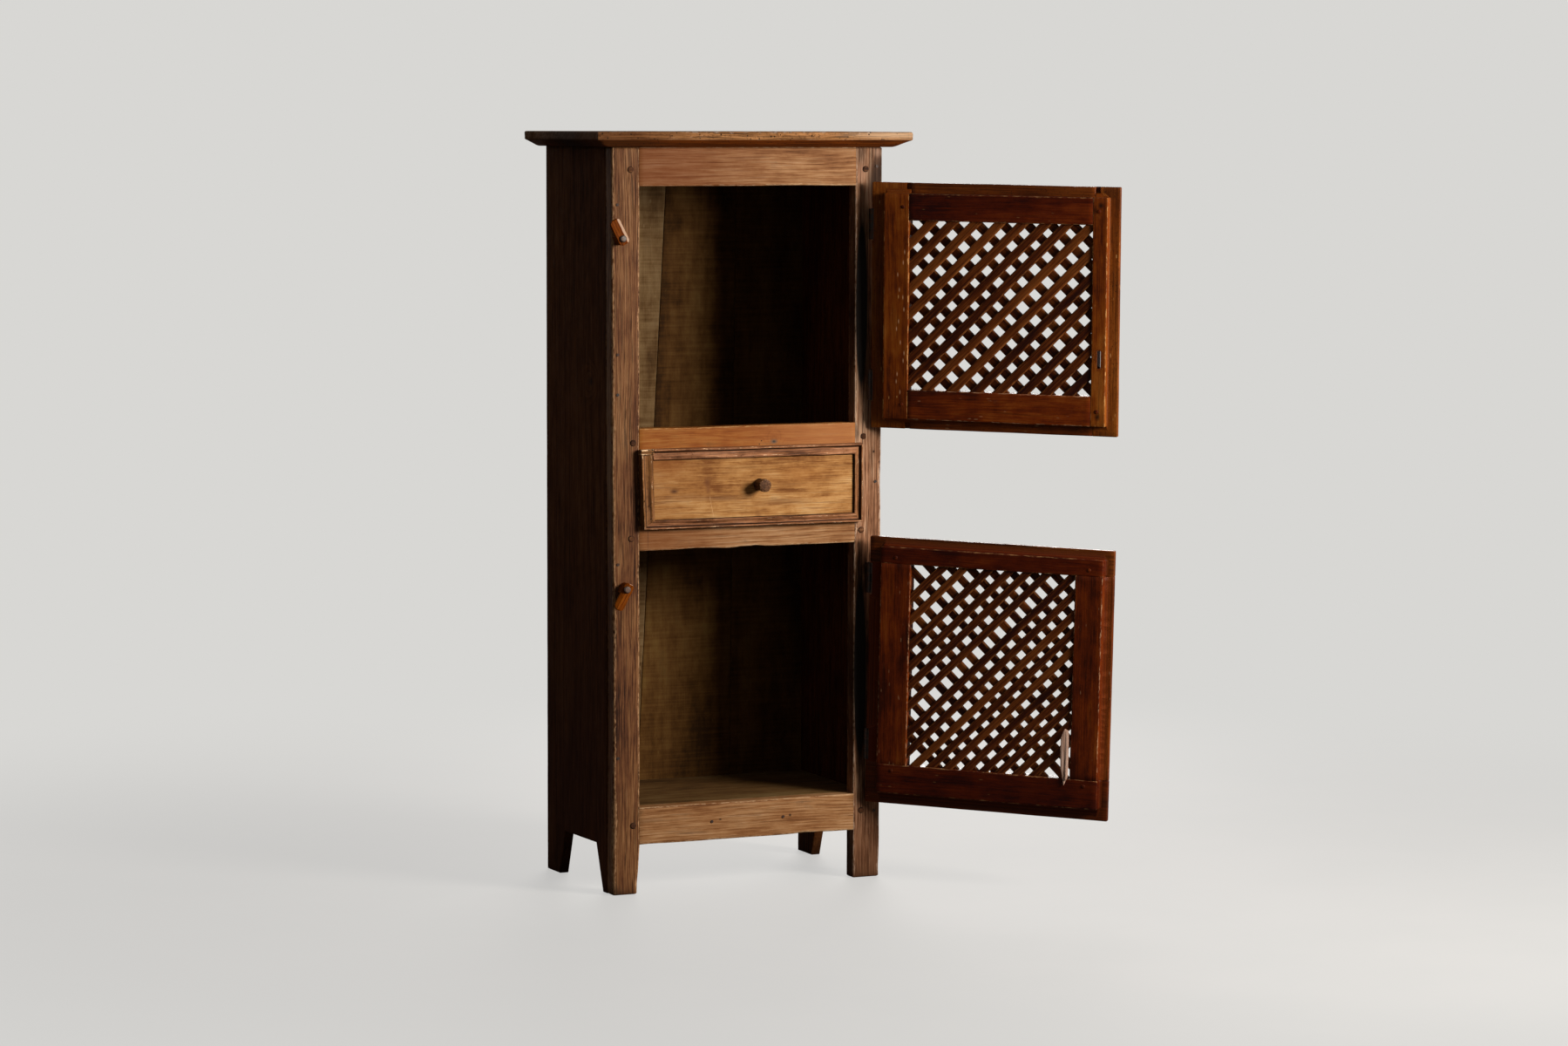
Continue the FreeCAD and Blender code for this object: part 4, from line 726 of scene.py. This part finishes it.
def top_point(shape, p, outward, side, inset, z, wear, dirt):
    """One point of the top's ring: waves and bites on its outer edge, a slight dip on its faces."""
    wave = 0.9 * rough(5, p.x / 38, p.y / 38, z / 30) + 0.5 * rough(6, p.x / 9, p.y / 9, z / 9)
    bite = max(0, rough(9, p.x / 16, p.y / 16, z / 24) - 0.35) * 7
    if side == BACK_SIDE:
        wave, bite, wear = wave * 0.3, 0, wear * 0.5
    q = p + outward * (wave - bite) * max(0, 1 - inset / 10)
    height = z + 0.5 * rough(12, p.x / 60, p.y / 60, 0) * (1 if z > 1630 else 0.3)
    if z > 1640:
        height = min(TOP_FACE, height)
    raw = (0.9 if side == FRONT_SIDE else 0.45) * (1 if z > 1634 and inset < 6 else 0.25)
    return shape.add((q.x, q.y, height), (q.x, q.y, height), wear, dirt, 0, raw)


def top_shape():
    shape = Shape()
    x0, x1, y0, y1 = TOP_BOX
    counts = (int((x1 - x0) / TOP_STEP), int((y1 - y0) / TOP_STEP)) * 2
    outwards = (Vector((0, -1)), Vector((1, 0)), Vector((0, 1)), Vector((-1, 0)))
    rings = []
    for inset, z, wear, dirt in TOP_PROFILE:
        corners = [Vector(c) for c in (
            (x0 + inset, y0 + inset), (x1 - inset, y0 + inset), (x1 - inset, y1), (x0 + inset, y1))]
        ring = []
        for side, (count, outward) in enumerate(zip(counts, outwards)):
            a, b = corners[side], corners[(side + 1) % 4]
            ring += [top_point(shape, a.lerp(b, i / count), outward, side, inset, z, wear, dirt)
                     for i in range(count)]
        rings.append(ring)
    return shape.close(rings)


finish_piece("top_board_worn", [top_shape()], TOP, "top_board")

# Plain boards: CAD node and material, then what bar() takes
INNER_DEPTH = (POST_BACK, BACK_FACE)
BOARDS = (
    ("floor_board", INNER_FLOOR, "x", 16, 623.5, INNER_DEPTH, (171, 189), 81, 1.2, SHELF),
    ("dust_board", INNER, "x", 16, 623.5, INNER_DEPTH, (787, 803), 84, 1.2, SHELF),
    ("upper_shelf", INNER, "x", 16, 623.5, INNER_DEPTH, (968, 984), 87, 1.2, SHELF),
    ("left_drawer_guide", INNER, "y", *INNER_DEPTH, (40, 64), (803, 833), 130, 1.2, dict(wobble=0.3)),
    ("right_drawer_guide", INNER, "y", *INNER_DEPTH, (575.5, 599.5), (803, 833), 665, 1.2, dict(wobble=0.3)),
    ("drawer_front", DRAWER, "x", 66, 573.5, (DRAWER_FACE, 14), (805, 959), 101, 1.2,
     dict(wobble=0.25, margin=4, inner=3)),
    ("drawer_left_side", INNER, "y", 14, 338, (66, 78), (803.4, 943.3), 176, 1.2, DRAWER_SIDE),
    ("drawer_right_side", INNER, "y", 14, 338, (561.5, 573.5), (803.4, 943.3), 671, 1.2, DRAWER_SIDE),
    ("drawer_back", INNER, "x", 77, 562.5, (326, 338), (819, 935), 119, 1.2, dict(wobble=0.15)),
    ("drawer_bottom", INNER, "x", 76, 563.5, (10, 336), (811.3, 819.3), 121, 0.8,
     dict(wobble=0.1, inner=6, tone=0.2)))
for node, material, *run, options in BOARDS:
    ending, body = ("_board", "drawer") if node.startswith("drawer") else ("_sawn", "carcass")
    finish_piece(node + ending, [bar(*run, **options)], material, node, body)

# Section of the drawer's moulding from its outer edge in: share of the width, Y, wear and dirt
MOULDING_SECTION = (
    (0, -0.6, 0.1, 0.6), (0, -10, 0.1, 0.5), (0.015, -15.6, 0.6, 0.1), (0.06, -17.9, 0.72, 0),
    (0.12, -18.3, 0.72, 0), (0.18, -17.8, 0.5, 0), (0.225, -16.2, 0.1, 0.5), (0.25, -13.6, 0, 1.3),
    (0.275, -12.2, 0, 1.2), (0.31, -11.4, 0, 0.8), (0.38, -11, 0, 0.4), (0.47, -11.1, 0.05, 0.2),
    (0.56, -11.7, 0.1, 0.1), (0.66, -12.8, 0.2, 0), (0.74, -14, 0.5, 0), (0.79, -14.7, 0.75, 0),
    (0.86, -14.9, 0.5, 0), (0.92, -14.2, 0.3, 0.3), (0.965, -12.4, 0.1, 1.1), (1, -10, 0, 1.4),
    (1, -7.6, 0, 1.4))


def moulding(width, seed, raw, outer, inner):
    """A mitred length from one outer corner to the next; the section runs inwards."""
    shape = Shape()
    shift = plank_shift(seed)
    (a, b), (c, d) = [Vector(p) for p in outer], [Vector(p) for p in inner]
    length = (b - a).length
    inwards = (c - a).normalized()
    count = max(6, int(length / 7))
    last = len(MOULDING_SECTION) - 1
    rings = []
    for i in range(count + 1):
        run = i / count * length
        ring = []
        for k, (share, y, wear, dirt) in enumerate(MOULDING_SECTION):
            p = a.lerp(c, share).lerp(b.lerp(d, share), i / count)
            wave = 0.5 * rough(seed, run / 45, k / 4, 0) + 0.35 * rough(seed + 1, run / 12, k / 2, 0)
            lift = 0.6 * rough(seed + 2, run / 28, k / 3, 0) if y < -9 else 0
            bite = max(0, rough(seed + 3, run / 18, k / 5, 0.2) - 0.4) * 4 if wear > 0.6 else 0
            q = p + inwards * (wave if 0 < k < last else 0)
            ring.append(shape.add(
                (q.x, y + lift + bite, q.y), Vector((run, share * width, y)) + shift, wear, dirt, 0, raw))
        rings.append(ring)
    return shape.close(rings)


# The moulding's upper left corner is broken: the left length stops short, and a raw block fills the corner
OUTER = ((66, 795), (588, 795), (588, 969), (91, 969))
INNER_CORNERS = ((95.3, 815.5), (568, 815.5), (568, 944), (91, 944))
MOULDINGS = (
    ("bottom", 20.5, 130, 0.15, OUTER[0:2], INNER_CORNERS[0:2]),
    ("right", 20, 137, 0.3, OUTER[1:3], INNER_CORNERS[1:3]),
    ("top", 25, 144, 0.1, OUTER[2:4], INNER_CORNERS[2:4]),
    ("left", 30, 151, 0.6, ((60.4, 956.5), OUTER[0]), ((91, 956.5), INNER_CORNERS[0])))
for name, width, seed, raw, outer, inner in MOULDINGS:
    shapes = [moulding(width, seed, raw, outer, inner)]
    if name == "top":
        shapes.append(bar("x", 60.2, 92, (-16.6, -0.6), (957, 968.6), 171, 2.2, wobble=0.7, step=4, raw=0.9,
                          ends=2, chips=((0, 80, 3, 5), (1, 86, 4, 4))))
    finish_piece("moulding_{}_carved".format(name), shapes, MOULDING,
                 "drawer_moulding_" + name, "drawer")

# Knob, turned by hand, with a lumpy profile: depth, radius, wear and dirt
KNOB_X, KNOB_Z, KNOB_POINTS = 341.75, 884.5, 28
KNOB_PROFILE = (
    (-2, 12.6, 0, 0.9), (0.5, 13.8, 0.2, 0.9), (4, 13.4, 0, 0.6), (12, 12.8, 0, 0.5), (20, 13.2, 0, 0.4),
    (26, 14.2, 0.1, 0.2), (30, 15, 0.3, 0), (32.6, 15.2, 0.7, 0), (34, 14.2, 1, 0), (34.8, 12.4, 0.6, 0),
    (35, 8.8, 0.2, 0), (35.1, 4.5, 0.1, 0))
knob = Shape()
rings = []
for depth, radius, wear, dirt in KNOB_PROFILE:
    ring = []
    for k in range(KNOB_POINTS):
        angle = 2 * pi * k / KNOB_POINTS
        along, up = cos(angle), sin(angle)
        facet = abs(cos(2.5 * (angle + 0.35)))
        r = radius * (1 + 0.05 * rough(141, along * 1.3, up * 1.3, depth / 14)) - 1.1 * facet
        lump = 0.6 * rough(142, along * 2, up * 2, 1) if depth > 30 else 0
        x, z = KNOB_X + r * along, KNOB_Z + r * up
        ring.append(knob.add((x, DRAWER_FACE - depth + lump, z), (depth + 400, x, z), wear, dirt))
    rings.append(ring)
finish_piece("knob_turned", [knob.close(rings)], KNOB, "drawer_knob", "drawer")


# Doors

LIP_RADII, FRAME_RADII = (2, 1.2, 1.2, 2), (1.2, 1.5, 1.5, 1.2)


def member(lip, frame_part, axis, seed, lip_raw, tone):
    """A stile (axis z) or rail (axis x): a thin lip in front, a thicker body behind it."""
    shapes = []
    for (across, (low, high)), v, raw, radius, rub, start in (
            (lip, (LIP_FRONT, LIP_BACK), lip_raw, LIP_RADII, 0.45, seed),
            (frame_part, (DOOR_FRONT, DOOR_BACK), 0, FRAME_RADII, 0.9, seed + 5)):
        if axis == "z":
            sides = (across, v)
        else:
            sides, radius = (v, across), (radius[1], radius[1], radius[0], radius[0])
        shapes.append(bar(
            axis, low, high, *sides, start, radius, wobble=0.35, margin=2.6, raw=raw, tone=tone, rub=rub,
            ends=1.6, chips=((1, low + (high - low) * 0.3, 1.2, 9), (2, low + (high - low) * 0.7, 1.2, 8))))
    return shapes


def cut(piece, blocks, matrix):
    """Takes square blocks, in the builder's millimetres, out of a piece."""
    cutter_mesh = bpy.data.meshes.new("cutter")
    made = bmesh.new()
    for x0, x1, y0, y1, z0, z1 in blocks:
        middle = Matrix.Translation(((x0 + x1) / 2, (y0 + y1) / 2, (z0 + z1) / 2))
        block = Matrix.Diagonal((x1 - x0, y1 - y0, z1 - z0, 1))
        bmesh.ops.create_cube(made, size=1, matrix=matrix @ middle @ block)
    made.to_mesh(cutter_mesh)
    made.free()
    cutter = add_object("cutter", cutter_mesh)
    modifier = piece.modifiers.new("cut", "BOOLEAN")
    modifier.operation = "DIFFERENCE"
    modifier.solver = "EXACT"
    modifier.use_self = True
    modifier.object = cutter
    apply_modifiers(piece)
    bpy.data.objects.remove(cutter)


def apply_modifiers(piece):
    bpy.context.view_layer.update()
    result = bpy.data.meshes.new_from_object(piece.evaluated_get(bpy.context.evaluated_depsgraph_get()))
    piece.modifiers.clear()
    piece.data = result


# Lip, body and light, the lattice's opening, are (left, right, bottom, top) of the shut door. stiles_run says
# that the stiles and not the rails run through, seat is where the hinges' recess begins, slants are those of
# the back and the front slats, and raws, the bare wood on the lips, and woods follow MEMBERS
MEMBERS = ("lock_stile", "hinge_stile", "top_rail", "bottom_rail")
DOORS = {
    "upper": dict(
        matrix=UPPER, seed=200, lip=(46, 604, 1003, 1542), body=(69, 572, 1025.5, 1519.5),
        light=(102, 514.5, 1090.5, 1460.5), stiles_run=True, hinges=(1449, 1096), seat=600.5,
        slants=(-45, 43.5), raws=(0.6, 0.25, 0.35, 0.35), woods=(DOOR_ORANGE, DOOR_ORANGE, DOOR_DARK, DOOR)),
    "lower": dict(
        matrix=LOWER, seed=260, lip=(46, 600.5, 172, 765.5), body=(66, 570, 198, 746.5),
        light=(128, 501.5, 262.5, 709), stiles_run=False, hinges=(670.5, 301), seat=594.5, slants=(-45.5, 43.5),
        raws=(0.35, 0.2, 0.35, 0.2), woods=(DOOR, DOOR, DOOR_DARK, DOOR_DARK))}
JOINT_OVERLAP = 1
HINGE_HALF = 35.5
# Notches at the ends of the upper door's stiles, by their lowest X and Z, and the slot of the old latch
NOTCHES = {"hinge_stile": ((514.5, 1528), (514.5, 1003)), "lock_stile": ((90, 1528),)}
NOTCH_WIDTH, NOTCH_HEIGHT = 12, 14
LATCH_SLOT = (80.5, 89, -20, 22, 1152, 1190)
# Slats: Y of the layer, and what is added to the door's seed
LAYERS = (("back", (6.3, 13.2), 90), ("front", (-0.8, 6.1), 180))


def region(key, area, light, stiles_run):
    """A member's (low, high) across it and along it."""
    across = {"lock_stile": (area[0], light[0]), "hinge_stile": (light[1], area[1]),
              "top_rail": (light[3], area[3]), "bottom_rail": (area[2], light[2])}[key]
    stile = "stile" in key
    ends = slice(2, 4) if stile else slice(0, 2)
    if stile == stiles_run:
        return across, area[ends]
    low, high = light[ends]
    return across, (low - JOINT_OVERLAP, high + JOINT_OVERLAP)


def slats(node, matrix, v, seed, slant):
    """Each CAD slat gives its line and width; every one is worked a little differently."""
    run = Vector((cos(radians(slant)), 0, sin(radians(slant))))
    across = Vector((run.z, 0, -run.x))
    rows = []
    for group in islands(node, matrix):
        along, wide = [p.dot(run) for p in group], [p.dot(across) for p in group]
        rows.append((min(wide), max(wide), min(along), max(along)))
    shapes = []
    for index, (w0, w1, low, high) in enumerate(sorted(rows)):
        base = seed + index
        bow = 1.6 * rough(base, 0.3, index * 1.7)

        def bend(p, share, bow=bow):
            return run * p.z + across * (p.x + bow * sin(pi * share)) + Vector((0, p.y, 0))

        shapes.append(bar(
            "z", low, high, (w0, w1), v, base * 3, (1, 2.2, 2.2, 1), wobble=0.5, step=18, margin=4, inner=1,
            bend=bend, tone=2.2 * rough(base + 5, index * 3.3, 0.4),
            chips=((1, low + (high - low) * 0.4, 2, 9), (2, low + (high - low) * 0.8, 2, 12))))
    return shapes


for name, door in DOORS.items():
    matrix, seed, light, stiles_run = door["matrix"], door["seed"], door["light"], door["stiles_run"]
    body = name + "_door"
    for index, key in enumerate(MEMBERS):
        lip, frame_part = (region(key, door[part], light, stiles_run) for part in ("lip", "body"))
        node = "{}_{}".format(body, key)
        shapes = member(lip, frame_part, "z" if "stile" in key else "x", seed + index * 9, door["raws"][index],
                        0.2 * rough(seed, index * 2.3, 0.7))
        piece = finish_piece(node + "_worn", shapes, door["woods"][index], node, body, matrix)
        blocks = []
        if key == "hinge_stile" or not stiles_run:
            blocks += [(door["seat"], 615, -20, 3, z - HINGE_HALF, z + HINGE_HALF) for z in door["hinges"]]
        if name == "upper":
            blocks += [(x, x + NOTCH_WIDTH, -8.3, 5, z, z + NOTCH_HEIGHT) for x, z in NOTCHES.get(key, ())]
            if key == "lock_stile":
                blocks.append(LATCH_SLOT)
        if blocks:
            cut(piece, blocks, matrix)
    for (layer, v, start), slant in zip(LAYERS, door["slants"]):
        node = "{}_lattice_{}".format(body, layer)
        shapes = slats(node, matrix, v, seed + start, slant)
        finish_piece("{}_slats_{}".format(body, layer), shapes, SLAT, node, body, matrix)


# Pegs: round heads with a dark gap round them

PEG_POINTS = 20
FRAME_PEG, DOOR_PEG, PEG_TONE = 6.2, 4.3, -0.6


def peg(x, y, z, radius, out, seed, depth=14):
    """A peg's head at (x, y, z); out is -1 towards the front and 1 towards the back."""
    shape = Shape()
    levels = ((0.97, -depth, 0, 0.6), (1.1, 0.15, 0, 1.6), (0.99, 0.2, 0, 1.4), (0.93, 0.8, 0.5, 0.5),
              (0.8, 1.2, 0.5, 0.1), (0.4, 1.3, 0.1, 0))
    rings = []
    for share, rise, wear, dirt in levels:
        ring = []
        for k in range(PEG_POINTS):
            angle = 2 * pi * k / PEG_POINTS
            r = radius * share * (1 + 0.05 * rough(seed, cos(angle), sin(angle), 0.3))
            px, pz = x + r * cos(angle), z + r * sin(angle)
            ring.append(shape.add(
                (px, y + out * rise, pz), (px * 3 + seed * 97, pz * 3, rise), wear, dirt, PEG_TONE))
        rings.append(ring)
    return shape.close(rings)


def peg_places(node, matrix):
    """The middle of each CAD peg, seen from the front."""
    for index, group in enumerate(islands(node, matrix)):
        low, high = extent(group)
        yield index, (low.x + high.x) / 2, (low.z + high.z) / 2


heads = [peg(x, 0, z, FRAME_PEG, -1, 300 + index, depth=30)
         for index, x, z in peg_places("frame_pegs", CARCASS)]
finish_piece("frame_peg_heads", heads, POST_LEFT, "frame_pegs")
for name, door in DOORS.items():
    heads = []
    for index, x, z in peg_places(name + "_door_pegs", door["matrix"]):
        heads.append(peg(x, 16.5, z, DOOR_PEG, 1, 320 + index))
        heads.append(peg(x, -14.2, z, DOOR_PEG, -1, 340 + index))
    finish_piece(name + "_door_peg_heads", heads, DOOR, name + "_door_pegs", name + "_door",
                 door["matrix"])

# Splint on the lower door
low, high = extent(islands("lower_door_splint", LOWER)[0])
x0, x1, z0, z1 = low.x, high.x, low.z, high.z
middle = (x0 + x1) / 2
splint_outline = (
    (middle, z0), (x0, z0 + 20), (x0 + 0.5, z1 - 12), (x0 + 2, z1 - 3), (middle, z1), (x1, z1 - 20),
    (x1 - 1, z0 + 40))
shape = plate(splint_outline, "y", 16.8, 20.7, 401, bevel=0.8, jitter=0.5, step=8)
finish_piece("lower_door_splint_split", [shape], SPLINT, "lower_door_splint", "lower_door",
             LOWER)


# Turn buttons: remeshed from the CAD block, so that every arris is worn round; one front arris also gets a
# painted highlight

VOXEL = 0.8 * MM
SMOOTHING = 26
CORNER = 11
LUMPS = 0.5 * MM


def carve_button(side, angle, lean):
    """angle is the button's turn and lean the way its front arris with the painted highlight faces, both in
    degrees.
    """
    name, node = side + "_button_carved", side + "_turn_button"
    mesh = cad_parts[node].data.copy()
    mesh.name = name
    made = bmesh.new()
    made.from_mesh(mesh)
    bmesh.ops.remove_doubles(made, verts=made.verts, dist=1e-6)
    made.to_mesh(mesh)
    made.free()
    piece = add_object(name, mesh)
    remesh = piece.modifiers.new("remesh", "REMESH")
    remesh.mode = "VOXEL"
    remesh.voxel_size = VOXEL
    smooth = piece.modifiers.new("smooth", "SMOOTH")
    smooth.factor = 0.5
    smooth.iterations = SMOOTHING
    apply_modifiers(piece)
    result = piece.data
    made = bmesh.new()
    made.from_mesh(result)
    made.normal_update()

    # Wear shows on convex arrises; the front arris facing toward, to the front and the lamp's side, gets a
    # painted highlight in the same mark
    toward = Vector((cos(radians(lean)), -1.7, sin(radians(lean)))).normalized()
    wear = []
    for vert in made.verts:
        around = [edge.other_vert(vert).co for edge in vert.link_edges]
        mean = sum(around, Vector()) / max(1, len(around))
        wear_and_highlight = max(0, (vert.normal.dot(toward) - 0.955) * 60)
        wear.append(min(1.6, max(wear_and_highlight, (vert.co - mean).dot(vert.normal) / VOXEL * 4)))

    # Its four corners are rounded, seen from the front, then the whole is made a little lumpy
    back = CARCASS.inverted()
    turn = radians(angle)
    length_way = Vector((-sin(turn), 0, cos(turn))).normalized()
    ways = (length_way, length_way.cross(Vector((0, 1, 0))))
    reaches = [[(back @ vert.co).dot(way) for vert in made.verts] for way in ways]
    middles = [(min(reach) + max(reach)) / 2 for reach in reaches]
    limits = [(max(reach) - min(reach)) / 2 - CORNER for reach in reaches]
    moves = []
    for vert in made.verts:
        p = back @ vert.co
        gaps = [p.dot(way) - middle for way, middle in zip(ways, middles)]
        over = [abs(gap) - limit for gap, limit in zip(gaps, limits)]
        length = hypot(*over)
        if min(over) > 0 and length > CORNER:
            for way, gap, beyond in zip(ways, gaps, over):
                p += way * copysign(beyond * (1 - CORNER / length), -gap)
            vert.co = CARCASS @ p
        moves.append(vert.normal * LUMPS * (rough(55, p.x / 9, p.y / 9, p.z / 9) - 0.2))
    for vert, move in zip(made.verts, moves):
        vert.co += move
    made.to_mesh(result)
    made.free()
    grain = []
    for vert in result.vertices:
        p = back @ vert.co
        grain.append((p.dot(ways[0]) * MM + 3, p.dot(ways[1]) * MM, p.y * MM))
    put_attributes(result, grain, [(amount, 0, 0, 0) for amount in wear])
    result.materials.clear()
    result.materials.append(BUTTON)
    result.shade_smooth()
    declare(piece, side + "_button", node)


carve_button("upper", 27, 27)
carve_button("lower", 152, 50)

# The iron stays as the CAD has it
IRON_NODES = (
    "carcass_nails", "drawer_nails", "hinge_post_screws", "upper_hinge_post_leaves", "lower_hinge_post_leaves",
    "upper_hinge_pins", "lower_hinge_pins", "upper_door_hinge_leaves", "lower_door_hinge_leaves",
    "upper_door_hinge_screws", "lower_door_hinge_screws")
for nodes, material in ((IRON_NODES, IRON), (("upper_button_pin", "lower_button_pin"), PIN_IRON)):
    for node in nodes:
        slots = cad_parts[node].data.materials
        for index in range(len(slots)):
            slots[index] = material


# Floor, light and camera

BACKDROP = linear((216, 215, 212))
FLOOR_SIZE = 40


def add_floor():
    """Pale for the camera and fading into the backdrop; it keeps the object's shadow."""
    made = bmesh.new()
    bmesh.ops.create_grid(made, x_segments=1, y_segments=1, size=FLOOR_SIZE)
    mesh = bpy.data.meshes.new("floor")
    made.to_mesh(mesh)
    made.free()
    floor = add_object("floor", mesh)
    g = Graph(bpy.data.materials.new("floor_pale"))
    place = g.node("TexCoord", output="Object")
    cloud = g.noise(place, 1.6, 4, 0.6)
    camera_ray = g.node("LightPath", output="Is Camera Ray")
    seen = g.mix(g.window(cloud, 0.3, 0.7), linear((97, 96, 94)), linear((102, 100, 98)))
    near = g.node("BsdfPrincipled", {
        "Base Color": g.mix(camera_ray, linear((96, 94, 92)), seen), "Roughness": 0.8,
        "Specular IOR Level": 0.05, "Emission Color": linear((191, 190, 188)), "Emission Strength": camera_ray})
    backdrop = g.node("Emission", {"Color": BACKDROP, "Strength": 1})
    distance = g.node("VectorMath", {0: place}, output="Value", operation="LENGTH")
    fade = g.times(g.window(distance, 0.9, 3.4), camera_ray)
    mesh.materials.append(g.finish(g.node("MixShader", {0: fade, 1: near, 2: backdrop})))


def add_world():
    """Soft light all round; camera, glossy and transmission rays see the pale backdrop instead."""
    world = bpy.data.worlds.new("studio")
    bpy.context.scene.world = world
    g = Graph(world, "OutputWorld")
    lit = g.node("Background", {0: (1, 0.98, 0.96, 1), 1: 0.075})
    shown = g.node("Background", {0: BACKDROP, 1: 1})
    shows = g.node("LightPath", output="Is Camera Ray")
    for label in ("Is Glossy Ray", "Is Transmission Ray"):
        shows = g.math("MAXIMUM", shows, g.node("LightPath", output=label))
    g.finish(g.node("MixShader", {0: shows, 1: lit, 2: shown}))


def add_lamp(name, place, target, size, power, colour):
    data = bpy.data.lights.new(name, "AREA")
    data.shape = "DISK"
    data.size = size
    data.energy = power
    data.color = colour
    made = add_object(name, data)
    made.location = CARCASS @ Vector(place)
    made.rotation_euler = (CARCASS @ Vector(target) - made.location).to_track_quat("-Z", "Y").to_euler()


PHOTO_WIDTH, FOCAL_PIXELS, SENSOR = 1799, 5015.5, 36
CAMERA_PLACE = (-3506.8, -8684.9, 1676.3)
YAW, PITCH, ROLL = 24.2495, 5.272, 0.155


def add_camera():
    data = bpy.data.cameras.new("photo_view")
    data.sensor_width = SENSOR
    data.sensor_fit = "HORIZONTAL"
    data.lens = FOCAL_PIXELS / PHOTO_WIDTH * SENSOR
    data.clip_end = 200
    camera = add_object("photo_view", data)
    camera.matrix_world = Matrix.Translation(CARCASS @ Vector(CAMERA_PLACE))
    for angle, axis in ((-YAW, "Z"), (90 - PITCH, "X"), (ROLL, "Z")):
        camera.matrix_world = camera.matrix_world @ Matrix.Rotation(radians(angle), 4, axis)
    bpy.context.scene.camera = camera


add_floor()
add_world()
add_lamp("key", (2413, -2679, 1880), (320, 0, 850), 1.35, 190, (1, 0.96, 0.9))
add_lamp("rear", (2600, 4200, 1000), (320, 200, 900), 2.5, 170, (1, 0.97, 0.94))
add_camera()
bpy.context.scene.view_settings.view_transform = "Standard"
